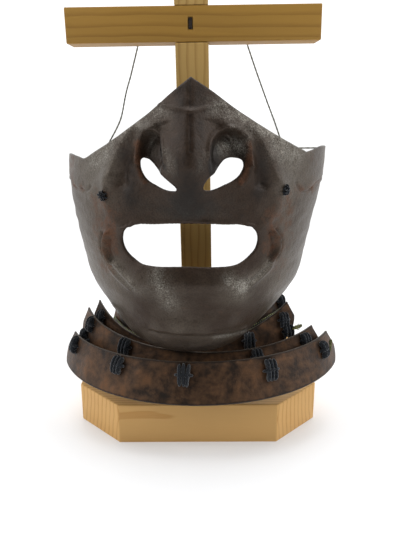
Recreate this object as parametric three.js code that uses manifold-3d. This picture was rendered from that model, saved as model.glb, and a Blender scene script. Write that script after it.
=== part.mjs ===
// A samurai face guard (menpo) of russet iron with its laced throat guard of four lames, hung by
// two thin strings from a plain wooden T stand. Millimetres, +Z up, the face looks along -Y, and
// the origin is the middle of the stand's underside.
import * as THREE from "three";
import { mergeVertices } from "three/addons/utils/BufferGeometryUtils.js";
import Module from "manifold-3d";

const wasm = await Module();
wasm.setup();

// ---------------------------------------------------------------- driving sizes

const GAP = 0.3; // between pieces that touch

// Stand: one square stock for post and crossbar, on an eight-sided base.
const STOCK = 21;
const BASE = { half: 78, cut: 28.6, height: 26.3 };
const BAR = { length: 159.4, middle: 1.25, underside: 241.8 };
const POST_ABOVE_BAR = 40;
const STAND_LEAN = 0.9; // degrees, the post and bar lean towards -X
const NAIL = { width: 2.2, height: 6.4, sink: 1.5, x: -0.7, z: 10.8 };

// Mask: where its own frame sits on the stand, and how far it is turned.
const MASK_PLACE = { x: -0.3, y: 0, z: 134, yaw: -2.3 };
const IRON = 1.8; // thickness of the face plate
const REAR_ANGLE = 92; // degrees round each half section, from the nose line to the ear edge

// Horizontal sections of the face are half ellipses: a row for each height.
const SECTIONS = [
  { z: -73, middle: -2.0, half: 52.0, depth: 78.0 },
  { z: -66, middle: -2.5, half: 54.5, depth: 84.0 },
  { z: -58, middle: -2.2, half: 57.5, depth: 88.0 },
  { z: -50, middle: -1.6, half: 63.0, depth: 91.0 },
  { z: -38, middle: -1.3, half: 71.0, depth: 93.0 },
  { z: -20, middle: -1.5, half: 75.5, depth: 94.0 },
  { z: 0, middle: -1.5, half: 79.5, depth: 94.0 },
  { z: 20, middle: -0.8, half: 83.0, depth: 92.5 },
  { z: 42, middle: 0.3, half: 83.5, depth: 90.0 },
  { z: 62, middle: 0.6, half: 83.0, depth: 87.0 },
  { z: 86, middle: 0.8, half: 81.0, depth: 82.0 },
];

// How far the nose stands out of the section at each height.
const NOSE = [
  { z: -10, out: 0 },
  { z: 4, out: 0 },
  { z: 14, out: 2.5 },
  { z: 26, out: 8 },
  { z: 36, out: 13.5 },
  { z: 46, out: 14.5 },
  { z: 56, out: 12 },
  { z: 68, out: 8 },
  { z: 86, out: 3 },
];
const NOSE_WIDTH = 14;

// Upper edge: height at each angle, from the peak over the nose down to the level ear corners.
const UPPER_EDGE = [
  { angle: 0, left: 83.2, right: 83.2 },
  { angle: 5.7, left: 76.6, right: 78.0 },
  { angle: 17.1, left: 63.6, right: 66.8 },
  { angle: 29.4, left: 52.6, right: 56.8 },
  { angle: 43.2, left: 43.4, right: 48.0 },
  { angle: 49.4, left: 40.0, right: 44.8 },
  { angle: 51.6, left: 39.8, right: 43.7 },
  { angle: 54, left: 40.2, right: 44.0 },
  { angle: 64, left: 40.6, right: 45.6 },
  { angle: 80, left: 39.6, right: 44.6 },
  { angle: 92, left: 36.5, right: 40.6 },
];

// Lower edge: height at each angle round the section, from the chin to the jaw and the ear.
const LOWER_EDGE = [
  { angle: 0, z: -72.4 },
  { angle: 12, z: -72.0 },
  { angle: 24, z: -70.5 },
  { angle: 36, z: -66.6 },
  { angle: 50, z: -59.1 },
  { angle: 62, z: -50.6 },
  { angle: 72, z: -41.1 },
  { angle: 80, z: -31.1 },
  { angle: 86, z: -18.0 },
  { angle: 92, z: -10.0 },
];

// Embossed ridges (rise above 0) and grooves, each along a bent stroke over the front, mirrored.
const STROKES = [
  { name: "wing crest", from: [20, 59], bend: [37, 54], to: [46, 30], width: 4.5, rise: 2.6 },
  { name: "wing valley", from: [27, 56], bend: [38.5, 49], to: [38, 30], width: 3.2, rise: -1.8 },
  { name: "nose wrinkle", from: [0, 66.2], bend: [7, 67.6], to: [15.5, 69.6], width: 2.2, rise: 0.9 },
  { name: "smile fold", from: [46, 30], bend: [52, 14], to: [39, 4.5], width: 4, rise: 1 },
  { name: "lower lip", from: [0, -26.5], bend: [14, -26.5], to: [25, -24], width: 8, rise: 3.6 },
  { name: "chin hollow", from: [0, -44], bend: [10, -44], to: [20, -42], width: 7, rise: -1.4 },
  { name: "cheek wrinkle", from: [47.5, 0], bend: [53, -17], to: [33, -28], width: 3.2, rise: 1.5 },
];

// The hollows beside the nose: oval bowls with a raised rim.
const HOLLOWS = [
  { side: "right", x: 20.8, z: 43.5, wide: 11.2, high: 14.5, deep: 7, rim: 1.6 },
  { side: "left", x: -20.3, z: 43.3, wide: 7.6, high: 14.5, deep: 7, rim: 1.6 },
];

// Outlines of the openings, cut straight through along Y.
const MOUTH = [
  [0, 8.9],
  [16, 8.6],
  [30.5, 7.0],
  [35.2, 4.0],
  [37.8, -1.6],
  [36.6, -7.2],
  [33.2, -11.2],
  [28.0, -14.2],
  [22.0, -15.3],
  [0, -14.9],
];
const NOSTRILS = {
  right: [
    [8.2, 27.6],
    [11.2, 25.7],
    [15.2, 26.0],
    [20.3, 28.0],
    [25.9, 31.5],
    [28.4, 35.4],
    [29.3, 39.3],
    [27.2, 42.3],
    [22.2, 43.8],
    [18.6, 41.9],
    [15.0, 36.0],
  ],
  left: [
    [-26.4, 39.2],
    [-24.8, 42.6],
    [-21.4, 42.3],
    [-18.1, 39.1],
    [-14.5, 34.2],
    [-9.7, 30.8],
    [-6.4, 27.3],
    [-7.9, 25.8],
    [-12.1, 25.9],
    [-18.5, 27.5],
    [-22.8, 30.6],
    [-26.0, 34.3],
  ],
};

// Throat lames, from the chin down: half ellipses in plan that flare to their lower edge. The
// upper edge rises towards the ends, and the ends are angles round the neck.
const LAME_IRON = 1.5;
const LAMES = [
  {
    name: "lame_1", middle: 2, half: 64.8, front: 56, centre: 5, z: 64, rise: 22.7, roll: 0.14,
    left: 66, right: 57.5, drop: 16, flare: 3, flareFront: 3, slant: 2,
  },
  {
    name: "lame_2", middle: 3.5, half: 77, front: 62, centre: -10, z: 59.5, rise: 54, roll: 0.15,
    left: 64, right: 44.3, drop: 20, flare: 4, flareFront: 8, slant: 3.5,
  },
  {
    name: "lame_3", middle: 6.6, half: 84.6, front: 76, centre: -10, z: 60.8, rise: 18.7, roll: 0,
    left: 71.5, right: 52, drop: 20, flare: 5, flareFront: 8, slant: 4.5,
  },
  {
    name: "lame_4", middle: 2.4, half: 90.5, front: 89, centre: -10, z: 60.5, rise: -0.7, roll: 0.01,
    left: 69, right: 65.5, drop: 22.6, flare: 6, flareFront: 11, slant: 8.5,
  },
];

// Silk ties: a knot in front of its lame, a stem through it, and a knot behind the lame above
// (or behind the same lame). A spot is an angle and a share of the way down to the lower edge.
const STEM = 1.2; // radius
const TIE_DEPTH = 3.2;
const TIES = [
  { name: "tie_1_right", lame: 0, spot: [53.5, 0.16], size: [5, 6.2] },
  { name: "tie_2_left", lame: 1, spot: [-59, 0.32], size: [5, 7], behind: 0, rear: [-61, 0.78] },
  { name: "tie_2_middle", lame: 1, spot: [21.5, 0.3], size: [8, 8], behind: 0, rear: [27, 0.78] },
  { name: "tie_2_right", lame: 1, spot: [40.5, 0.4], size: [6.5, 7.5], behind: 0, rear: [49, 0.8] },
  { name: "tie_2_end", lame: 1, spot: [42, 0.82], size: [8, 5] },
  { name: "tie_3_left", lame: 2, spot: [-62.5, 0.28], size: [5, 8], behind: 1, rear: [-59, 0.76] },
  { name: "tie_3_corner", lame: 2, spot: [-67.5, 0.78], size: [6, 5.5] },
  { name: "tie_3_side", lame: 2, spot: [-37, 0.26], size: [8, 8], behind: 1, rear: [-38, 0.5] },
  { name: "tie_3_middle", lame: 2, spot: [20, 0.26], size: [7.5, 6.5], behind: 1, rear: [23.5, 0.5] },
  { name: "tie_3_right", lame: 2, spot: [45, 0.26], size: [7, 5.5] },
  { name: "tie_4_left", lame: 3, spot: [-62.5, 0.26], size: [5.5, 8.5], behind: 2, rear: [-62.5, 0.76] },
  { name: "tie_4_side", lame: 3, spot: [-33, 0.27], size: [7.5, 8.5], behind: 2, rear: [-38, 0.6] },
  { name: "tie_4_middle", lame: 3, spot: [-6.5, 0.31], size: [8.6, 10], behind: 2, rear: [-9.5, 0.55] },
  { name: "tie_4_front", lame: 3, spot: [26, 0.35], size: [8, 10], behind: 2, rear: [25, 0.55] },
  { name: "tie_4_right", lame: 3, spot: [57, 0.36], size: [6.5, 8.5], behind: 2, rear: [50, 0.7] },
];

// Hidden ties that hang the first lame inside the jaw: a spot on each.
const JAW_TIES = [
  { name: "jaw_tie_left", angle: -40, jawAngle: -44, jawZ: -59 },
  { name: "jaw_tie_middle", angle: 0, jawAngle: 0, jawZ: -67 },
  { name: "jaw_tie_right", angle: 38, jawAngle: 44, jawZ: -59 },
];

// Braided lace laid along the first lame.
const EDGE_LACE = { left: -64, right: 56.5, half: 0.13, thick: 1.3 };

// Frayed lace ends: middle, half sizes and turn round Z.
const TUFTS = [
  { name: "tuft_upper", at: [63.2, -54.6, 68.3], size: [4.4, 1.6, 2.2], turn: 40 },
  { name: "tuft_lower", at: [85.6, -52.6, 54.8], size: [2.4, 1.5, 4.2], turn: 58 },
];

// Knots of the cords that pass through the cheeks.
const CHEEK_KNOTS = [
  { name: "cheek_knot_left", x: -48.4, z: 21.0, size: [5, 5.5] },
  { name: "cheek_knot_right", x: 50.6, z: 24.4, size: [5, 5.5] },
];

// Hanging strings, from behind the crossbar to a turn round each ear edge.
const STRING = 1.1;
const STRINGS = [
  {
    name: "hanging_string_left",
    route: [
      [-38.8, 13.0, 246.5],
      [-39.3, 12.2, 242.6],
      [-40.9, 11.7, 236.5],
      [-42.9, 11.3, 229.5],
      [-44.9, 11.1, 222.5],
      [-46.9, 10.8, 216.5],
      [-48.4, 10.6, 211.5],
      [-49.6, 10.4, 206.5],
      [-50.8, 10.1, 201.0],
      [-52.6, 9.9, 194.8],
      [-55.4, 9.7, 189.0],
      [-58.6, 9.5, 183.5],
      [-61.8, 9.4, 178.4],
      [-66.0, 9.2, 173.6],
      [-72.5, 9.0, 169.8],
      [-79.5, 9.0, 167.9],
      [-84.2, 8.4, 166.9],
      [-85.8, 5.8, 165.8],
    ],
  },
  {
    name: "hanging_string_right",
    route: [
      [32.6, 13.0, 247.4],
      [33.2, 12.2, 242.6],
      [35.4, 11.8, 236.5],
      [38.2, 11.4, 229.0],
      [41.2, 11.1, 221.3],
      [44.2, 10.8, 213.8],
      [47.2, 10.5, 206.3],
      [50.0, 10.2, 199.6],
      [52.4, 9.9, 193.8],
      [54.9, 9.5, 187.3],
      [57.6, 9.0, 180.9],
      [61.4, 8.0, 177.2],
      [66.4, 7.0, 175.9],
      [76.4, 6.0, 175.9],
      [82.8, 4.6, 175.8],
      [86.0, 2.6, 173.6],
      [85.8, 0.6, 168.4],
    ],
  },
];
const TACK = { radius: 2.4, thick: 1.4 };

// ---------------------------------------------------------------- small helpers

const radians = THREE.MathUtils.degToRad;

// Smooth curve through a table's rows (cubic, flat beyond both ends).
function readTable(rows, by, column) {
  const xs = rows.map((row) => row[by]);
  const ys = rows.map((row) => row[column]);
  const last = xs.length - 1;
  const step = xs.slice(1).map((x, i) => x - xs[i]);
  const slope = step.map((h, i) => (ys[i + 1] - ys[i]) / h);
  const tangent = ys.map((_, i) => {
    if (i === 0) return slope[0];
    if (i === last) return slope[last - 1];
    return (slope[i - 1] * step[i] + slope[i] * step[i - 1]) / (step[i - 1] + step[i]);
  });
  return (value) => {
    const x = Math.min(Math.max(value, xs[0]), xs[last]);
    const i = Math.min(Math.max(xs.findIndex((edge) => edge > x) - 1, 0), last - 1);
    const row = x >= xs[last] ? last - 1 : i;
    const h = step[row];
    const s = (x - xs[row]) / h;
    const near = ys[row] * (1 + 2 * s) * (1 - s) ** 2 + tangent[row] * h * s * (1 - s) ** 2;
    const far = ys[row + 1] * s * s * (3 - 2 * s) + tangent[row + 1] * h * s * s * (s - 1);
    return near + far;
  };
}

function smoothstep(low, high, value) {
  const s = Math.min(Math.max((value - low) / (high - low), 0), 1);
  return s * s * (3 - 2 * s);
}

function material(color, roughness, metalness) {
  return new THREE.MeshStandardMaterial({ color, roughness, metalness });
}

// A closed wall between an outer and an inner grid of points, columns by rows.
function shell(outer, inner, columns, rows) {
  const across = rows + 1;
  const sheet = (columns + 1) * across;
  const positions = [];
  for (const point of [outer, inner]) {
    for (let i = 0; i <= columns; i++) {
      for (let j = 0; j <= rows; j++) positions.push(...point(i / columns, j / rows).toArray());
    }
  }
  const faces = [];
  const quad = (a, b, c, d) => faces.push(a, b, c, a, c, d);
  const at = (i, j) => i * across + j;
  for (let i = 0; i < columns; i++) {
    for (let j = 0; j < rows; j++) {
      quad(at(i, j), at(i + 1, j), at(i + 1, j + 1), at(i, j + 1));
      quad(sheet + at(i, j), sheet + at(i, j + 1), sheet + at(i + 1, j + 1), sheet + at(i + 1, j));
    }
  }
  for (let i = 0; i < columns; i++) {
    quad(at(i, 0), sheet + at(i, 0), sheet + at(i + 1, 0), at(i + 1, 0));
    quad(at(i, rows), at(i + 1, rows), sheet + at(i + 1, rows), sheet + at(i, rows));
  }
  for (let j = 0; j < rows; j++) {
    quad(at(0, j), at(0, j + 1), sheet + at(0, j + 1), sheet + at(0, j));
    quad(at(columns, j), sheet + at(columns, j), sheet + at(columns, j + 1), at(columns, j + 1));
  }
  const geometry = new THREE.BufferGeometry();
  geometry.setAttribute("position", new THREE.Float32BufferAttribute(positions, 3));
  geometry.setIndex(faces);
  return geometry;
}

function toSolid(geometry) {
  const bare = geometry.clone();
  bare.deleteAttribute("normal");
  bare.deleteAttribute("uv");
  const merged = mergeVertices(bare, 1e-3);
  return new wasm.Manifold(
    new wasm.Mesh({
      numProp: 3,
      vertProperties: new Float32Array(merged.attributes.position.array),
      triVerts: new Uint32Array(merged.index.array),
    }),
  );
}

function toGeometry(solid) {
  const mesh = solid.getMesh();
  const geometry = new THREE.BufferGeometry();
  geometry.setAttribute("position", new THREE.BufferAttribute(mesh.vertProperties, 3));
  geometry.setIndex(new THREE.BufferAttribute(mesh.triVerts, 1));
  geometry.computeVertexNormals();
  return geometry;
}

// A prism of an outline given in x and z, from one y to another.
function prismAlongY(outline, yFrom, yTo) {
  const shape = new THREE.Shape(outline.map(([x, z]) => new THREE.Vector2(x, z)));
  const geometry = new THREE.ExtrudeGeometry(shape, { depth: yTo - yFrom, bevelEnabled: false });
  return geometry.rotateX(Math.PI / 2).translate(0, yTo, 0);
}

// A closed smooth loop through a few points of x and z.
function loopThrough(points, count) {
  const knots = points.map(([x, z]) => new THREE.Vector3(x, 0, z));
  const curve = new THREE.CatmullRomCurve3(knots, true, "centripetal");
  return curve.getPoints(count).slice(0, count).map((p) => [p.x, p.z]);
}

// A plain round cord along a route of points.
function cord(route, diameter, steps) {
  const sides = 8;
  const ring = Array.from({ length: sides }, (_, i) => {
    const turn = (2 * Math.PI * i) / sides;
    return new THREE.Vector2(Math.cos(turn), Math.sin(turn)).multiplyScalar(diameter / 2);
  });
  const path = new THREE.CatmullRomCurve3(route.map((p) => new THREE.Vector3(...p)));
  return new THREE.ExtrudeGeometry(new THREE.Shape(ring), { steps, extrudePath: path });
}

// ---------------------------------------------------------------- the face's surface

const sectionMiddle = readTable(SECTIONS, "z", "middle");
const sectionHalf = readTable(SECTIONS, "z", "half");
const sectionDepth = readTable(SECTIONS, "z", "depth");
const noseOut = readTable(NOSE, "z", "out");
const upperLeft = readTable(UPPER_EDGE, "angle", "left");
const upperRight = readTable(UPPER_EDGE, "angle", "right");
const lowerEdge = readTable(LOWER_EDGE, "angle", "z");

// Shortest distance from a point of the front to a stroke, which is a parabola of three points.
function strokeDistance(stroke, x, z) {
  const pieces = 14;
  let nearest = Infinity;
  for (let i = 0; i <= pieces; i++) {
    const s = i / pieces;
    const [a, b, c] = [(1 - s) ** 2, 2 * s * (1 - s), s * s];
    const dx = a * stroke.from[0] + b * stroke.bend[0] + c * stroke.to[0] - x;
    const dz = a * stroke.from[1] + b * stroke.bend[1] + c * stroke.to[1] - z;
    nearest = Math.min(nearest, Math.hypot(dx, dz));
  }
  return nearest;
}

// Height of the embossing over the plain section, out along the section's normal.
function relief(x, z) {
  let height = noseOut(z) * Math.exp(-((x / NOSE_WIDTH) ** 2));
  for (const stroke of STROKES) {
    const away = strokeDistance(stroke, Math.abs(x), z) / stroke.width;
    height += stroke.rise * Math.exp(-away * away);
  }
  for (const bowl of HOLLOWS) {
    const r = Math.hypot((x - bowl.x) / bowl.wide, (z - bowl.z) / bowl.high);
    const upper = smoothstep(-0.9, 0.1, (z - bowl.z) / bowl.high);
    height -= bowl.deep * (1 - smoothstep(0.45, 1.0, r));
    height += bowl.rim * upper * Math.exp(-(((r - 1.08) / 0.16) ** 2));
  }
  return height;
}

// A point of the face at an angle round the section and a height, pushed out by `lift`.
function facePoint(angle, z, lift) {
  const half = sectionHalf(z);
  const depth = sectionDepth(z);
  const plain = new THREE.Vector3(half * Math.sin(angle), -depth * Math.cos(angle), z);
  const normal = new THREE.Vector3(Math.sin(angle) / half, -Math.cos(angle) / depth, 0).normalize();
  const out = relief(plain.x + sectionMiddle(z), z) + lift;
  plain.x += sectionMiddle(z);
  return plain.addScaledVector(normal, out);
}

// The same point, offset square to the embossed surface.
function offsetPoint(angle, z, offset) {
  const small = 0.4;
  const across = facePoint(angle + small / 80, z, 0).sub(facePoint(angle - small / 80, z, 0));
  const up = facePoint(angle, z + small, 0).sub(facePoint(angle, z - small, 0));
  const normal = across.cross(up).normalize();
  return facePoint(angle, z, 0).addScaledVector(normal, offset);
}

// Columns crowd towards the nose and rows towards the hollows, where the embossing is fine.
function columnAngle(u) {
  const s = 2 * u - 1;
  return radians(REAR_ANGLE) * (0.6 * s + 0.4 * s ** 3);
}

function rowShare(v) {
  const dense = 0.72;
  const wave = (s) => 0.09 * Math.sin(2 * Math.PI * (s - dense + 0.5));
  return v + wave(v) - wave(0);
}

function facePlate() {
  const wall = (offset) => (u, v) => {
    const angle = columnAngle(u);
    const degrees = Math.abs(THREE.MathUtils.radToDeg(angle));
    const low = lowerEdge(degrees);
    const high = angle < 0 ? upperLeft(degrees) : upperRight(degrees);
    return offsetPoint(angle, low + (high - low) * rowShare(v), offset);
  };
  let solid = toSolid(shell(wall(0), wall(-IRON), 52, 32));
  const mouth = [...MOUTH, ...MOUTH.slice(1, -1).reverse().map(([x, z]) => [-x - 0.8, z])];
  const cuts = [
    prismAlongY(loopThrough(mouth, 44), -130, -50),
    prismAlongY(loopThrough(NOSTRILS.right, 26), -130, -50),
    prismAlongY(loopThrough(NOSTRILS.left, 26), -130, -50),
  ];
  for (const cut of cuts) solid = solid.subtract(toSolid(cut));
  for (const knot of CHEEK_KNOTS) solid = solid.subtract(cheekTie(knot).hole);
  return toGeometry(solid);
}

// ---------------------------------------------------------------- throat lames

// A point of a lame's outer face: angle in degrees round the neck, `down` from 0 to 1.
function lamePoint(lame, angle, down, inset = 0) {
  const turn = radians(angle);
  const side = (lame.half + lame.flare * down) * Math.sin(turn);
  const reach = lame.front + lame.centre + lame.flareFront * down;
  const z = lame.z + lame.rise * (1 - Math.cos(turn)) + lame.roll * side - lame.drop * down;
  const point = new THREE.Vector3(lame.middle + side, lame.centre - reach * Math.cos(turn), z);
  return inset === 0 ? point : point.addScaledVector(lameNormal(lame, angle, down), -inset);
}

function lameNormal(lame, angle, down) {
  const across = lamePoint(lame, angle + 0.5, down).sub(lamePoint(lame, angle - 0.5, down));
  const up = lamePoint(lame, angle, down - 0.02).sub(lamePoint(lame, angle, down + 0.02));
  return across.cross(up).normalize();
}

// A lame's end slants out from its pointed upper tip and turns in round the lower corner.
function lameEnd(tip, slant, down) {
  const corner = Math.max((down - 0.6) / 0.4, 0);
  return tip + slant * Math.min(down / 0.6, 1) - 8 * (1 - Math.sqrt(1 - corner * corner));
}

function lameSolid(lame) {
  const rows = [1, 0.96, 0.85, 0.6, 0.3, 0];
  const wall = (inset) => (u, v) => {
    const down = rows[Math.round(v * (rows.length - 1))];
    const left = -lameEnd(lame.left, lame.slant, down);
    const right = lameEnd(lame.right, lame.slant, down);
    return lamePoint(lame, left + (right - left) * u, down, inset);
  };
  return toSolid(shell(wall(0), wall(LAME_IRON), 28, rows.length - 1));
}

function edgeLace(lame) {
  const wall = (lift) => (u, v) => {
    const angle = EDGE_LACE.left + (EDGE_LACE.right - EDGE_LACE.left) * u;
    const middle = 0.38 + 0.16 * smoothstep(38, 56, angle);
    return lamePoint(lame, angle, middle + EDGE_LACE.half * (1 - 2 * v), -lift);
  };
  return shell(wall(GAP + EDGE_LACE.thick), wall(GAP), 28, 2);
}

// ---------------------------------------------------------------- ties and knots

// A flat oval knot whose back lies just off a surface at a spot (a point and its normal).
function knotPad(spot, wide, high, thick) {
  const side = new THREE.Vector3(0, 0, 1).cross(spot.normal).normalize();
  const up = spot.normal.clone().cross(side);
  const centre = spot.point.clone().addScaledVector(spot.normal, GAP + thick / 2);
  const place = new THREE.Matrix4().makeBasis(side, up, spot.normal).setPosition(centre);
  const pad = new THREE.SphereGeometry(1, 8, 4).rotateX(Math.PI / 2);
  return { centre, geometry: pad.scale(wide / 2, high / 2, thick / 2).applyMatrix4(place) };
}

function rod(from, to, radius) {
  const along = to.clone().sub(from);
  const turn = new THREE.Quaternion().setFromUnitVectors(
    new THREE.Vector3(0, 1, 0),
    along.clone().normalize(),
  );
  const geometry = new THREE.CylinderGeometry(radius, radius, along.length(), 6);
  geometry.applyQuaternion(turn);
  return geometry.translate(...from.clone().add(to).multiplyScalar(0.5).toArray());
}

// One tie as a solid, with the round hole that lets it through the iron.
function makeTie(front, rear, wide, high) {
  const face = knotPad(front, wide, high, TIE_DEPTH);
  const back = knotPad(rear, 5, 5, 2.2);
  const solid = toSolid(face.geometry)
    .add(toSolid(back.geometry))
    .add(toSolid(rod(face.centre, back.centre, STEM)));
  return { solid, hole: toSolid(rod(face.centre, back.centre, STEM + 0.5)) };
}

const inward = (normal) => normal.clone().negate();

function lameSpot(lame, angle, down, inside) {
  const normal = lameNormal(lame, angle, down);
  if (!inside) return { point: lamePoint(lame, angle, down), normal };
  return { point: lamePoint(lame, angle, down, LAME_IRON), normal: inward(normal) };
}

function lameTie(tie) {
  const front = lameSpot(LAMES[tie.lame], ...tie.spot, false);
  const rear = lameSpot(LAMES[tie.behind ?? tie.lame], ...(tie.rear ?? tie.spot), true);
  return makeTie(front, rear, ...tie.size);
}

// A spot on the face plate, in the mask's own frame, at a front place or an angle.
function faceSpot(angle, z, inside) {
  const normal = offsetPoint(angle, z, 1).sub(offsetPoint(angle, z, 0)).normalize();
  if (!inside) return { point: offsetPoint(angle, z, 0), normal };
  return { point: offsetPoint(angle, z, -IRON), normal: inward(normal) };
}

function cheekTie(knot) {
  const angle = Math.asin((knot.x - sectionMiddle(knot.z)) / sectionHalf(knot.z));
  const [front, rear] = [false, true].map((inside) => faceSpot(angle, knot.z, inside));
  return makeTie(front, rear, ...knot.size);
}

function jawTie(tie, toWorld) {
  const jaw = faceSpot(radians(tie.jawAngle), tie.jawZ, true);
  jaw.point.applyMatrix4(toWorld);
  jaw.normal.transformDirection(toWorld);
  return makeTie(jaw, lameSpot(LAMES[0], tie.angle, 0.16, true), 5, 5);
}

// ---------------------------------------------------------------- the stand

function octagonBase() {
  const { half, cut, height } = BASE;
  const flat = half - cut;
  const corners = [
    [flat, -half],
    [half, -flat],
    [half, flat],
    [flat, half],
    [-flat, half],
    [-half, flat],
    [-half, -flat],
    [-flat, -half],
  ];
  const shape = new THREE.Shape(corners.map(([x, y]) => new THREE.Vector2(x, y)));
  return new THREE.ExtrudeGeometry(shape, { depth: height, bevelEnabled: false });
}

// A box given by its lowest and highest corners.
function block(low, high) {
  const size = high.map((value, i) => value - low[i]);
  const middle = high.map((value, i) => (value + low[i]) / 2);
  return toSolid(new THREE.BoxGeometry(...size).translate(...middle));
}

const uprightFoot = BASE.height + GAP + 0.2;
const barLow = BAR.underside - uprightFoot;
const barHigh = barLow + STOCK;

function post() {
  const side = STOCK / 2;
  const whole = block([-side, -side, 0], [side, side, barHigh + POST_ABOVE_BAR]);
  const lap = block([-side - 1, -side - 1, barLow - GAP], [side + 1, GAP, barHigh + GAP]);
  return toGeometry(whole.subtract(lap));
}

function crossbar() {
  const side = STOCK / 2;
  const end = BAR.length / 2;
  const whole = block([BAR.middle - end, -side, barLow], [BAR.middle + end, side, barHigh]);
  const lap = block([-side - GAP, 0, barLow - 1], [side + GAP, side + 1, barHigh + 1]);
  const wide = NAIL.width / 2 + GAP;
  const high = NAIL.height / 2 + GAP;
  const middle = barLow + NAIL.z;
  const recess = block(
    [NAIL.x - wide, -side - 1, middle - high],
    [NAIL.x + wide, -side + NAIL.sink, middle + high],
  );
  return toGeometry(whole.subtract(lap).subtract(recess));
}

// ---------------------------------------------------------------- the object

const russet = material(0x453730, 0.42, 0.8);
const russetLame = material(0x5c4534, 0.5, 0.75);
const silk = material(0x1a2129, 0.85, 0);
const greenSilk = material(0x8f9440, 0.85, 0);
const pine = material(0xb48a50, 0.6, 0);
const steel = material(0x3a3430, 0.5, 0.8);
const hemp = material(0x7d8272, 0.9, 0);

const object = new THREE.Group();
object.name = "face_guard_on_stand";

function addMesh(group, name, geometry, look) {
  const mesh = new THREE.Mesh(geometry, look);
  mesh.name = name;
  group.add(mesh);
  return mesh;
}

const stand = new THREE.Group();
stand.name = "stand";
addMesh(stand, "stand_base", octagonBase(), pine);
const upright = new THREE.Group();
upright.name = "upright";
upright.position.set(0, 0, uprightFoot);
upright.rotation.y = radians(-STAND_LEAN);
addMesh(upright, "stand_post", post(), pine);
addMesh(upright, "stand_crossbar", crossbar(), pine);
const nail = new THREE.BoxGeometry(NAIL.width, NAIL.sink - GAP, NAIL.height);
const nailDepth = (NAIL.sink - GAP - STOCK) / 2;
addMesh(upright, "bar_nail", nail, steel).position.set(NAIL.x, nailDepth, barLow + NAIL.z);
stand.add(upright);

const mask = new THREE.Group();
mask.name = "mask";
mask.position.set(MASK_PLACE.x, MASK_PLACE.y, MASK_PLACE.z);
mask.rotation.z = radians(MASK_PLACE.yaw);
mask.updateMatrix();
addMesh(mask, "face_plate", facePlate(), russet);
for (const knot of CHEEK_KNOTS) addMesh(mask, knot.name, toGeometry(cheekTie(knot).solid), silk);

const throat = new THREE.Group();
throat.name = "throat_guard";
const plates = LAMES.map(lameSolid);
for (const tie of TIES) {
  const { solid, hole } = lameTie(tie);
  addMesh(throat, tie.name, toGeometry(solid), silk);
  for (const index of new Set([tie.lame, tie.behind ?? tie.lame])) {
    plates[index] = plates[index].subtract(hole);
  }
}
for (const tie of JAW_TIES) {
  const { solid, hole } = jawTie(tie, mask.matrix);
  addMesh(throat, tie.name, toGeometry(solid), silk);
  plates[0] = plates[0].subtract(hole);
}
LAMES.forEach((lame, i) => addMesh(throat, lame.name, toGeometry(plates[i]), russetLame));
addMesh(throat, "edge_lace", edgeLace(LAMES[0]), silk);
for (const tuft of TUFTS) {
  const mesh = addMesh(throat, tuft.name, new THREE.SphereGeometry(1, 8, 5).scale(...tuft.size), greenSilk);
  mesh.position.set(...tuft.at);
  mesh.rotation.z = radians(tuft.turn);
}

const strings = new THREE.Group();
strings.name = "strings";
for (const string of STRINGS) addMesh(strings, string.name, cord(string.route, STRING, 44), hemp);
for (const side of ["left", "right"]) {
  const disc = new THREE.CylinderGeometry(TACK.radius, TACK.radius, TACK.thick, 10);
  const tack = addMesh(upright, "string_tack_" + side, disc, steel);
  tack.position.set(side === "left" ? -36 : 38, STOCK / 2 + GAP + TACK.thick / 2, barLow + 6);
}

object.add(stand, mask, throat, strings);

export default object;
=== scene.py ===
"""Looks of a samurai face guard with its laced throat guard, hung from a wooden T stand.

Sizes are millimetres in the tables and metres in the meshes. The face looks along -Y, +Z is up,
and the origin is the middle of the stand's underside.
"""

import bpy
import numpy as np
from mathutils import Matrix, Vector


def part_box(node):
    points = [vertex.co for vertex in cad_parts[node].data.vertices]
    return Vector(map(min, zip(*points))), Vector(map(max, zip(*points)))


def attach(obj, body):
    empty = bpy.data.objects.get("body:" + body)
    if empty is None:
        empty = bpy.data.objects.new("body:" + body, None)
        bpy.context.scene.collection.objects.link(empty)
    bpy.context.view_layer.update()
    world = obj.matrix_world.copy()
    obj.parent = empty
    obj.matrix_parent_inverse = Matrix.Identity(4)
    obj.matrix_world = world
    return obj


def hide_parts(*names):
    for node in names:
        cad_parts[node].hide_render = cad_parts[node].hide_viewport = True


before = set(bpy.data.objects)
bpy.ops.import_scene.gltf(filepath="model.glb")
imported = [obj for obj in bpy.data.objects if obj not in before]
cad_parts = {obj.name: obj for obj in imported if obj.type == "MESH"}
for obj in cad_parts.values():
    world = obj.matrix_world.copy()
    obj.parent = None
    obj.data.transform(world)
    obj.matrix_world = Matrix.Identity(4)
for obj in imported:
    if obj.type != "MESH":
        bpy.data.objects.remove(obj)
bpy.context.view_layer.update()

MM = 0.001
GAP = 0.3  # mm, between pieces that touch

# ---------------------------------------------------------------- camera and stage

CAMERA_AT = (1.9, -387.0, 200.2)  # mm
CAMERA_DOWN = 16.17  # degrees below the horizon
CAMERA_RIGHT = 0.45  # degrees to the right of +Y
CAMERA_LENS = 36.86
SENSOR = 36.0


def make_camera():
    """A camera in front of the face, a little above it and looking slightly down."""
    down, right = np.radians(CAMERA_DOWN), np.radians(CAMERA_RIGHT)
    forward = Vector((np.sin(right) * np.cos(down), np.cos(right) * np.cos(down), -np.sin(down)))
    data = bpy.data.cameras.new("camera")
    data.lens = CAMERA_LENS
    data.sensor_width = SENSOR
    data.clip_start = 0.01
    camera = bpy.data.objects.new("camera", data)
    camera.location = Vector(CAMERA_AT) * MM
    camera.rotation_euler = forward.to_track_quat("-Z", "Y").to_euler()
    bpy.context.scene.collection.objects.link(camera)
    bpy.context.scene.camera = camera


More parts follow.
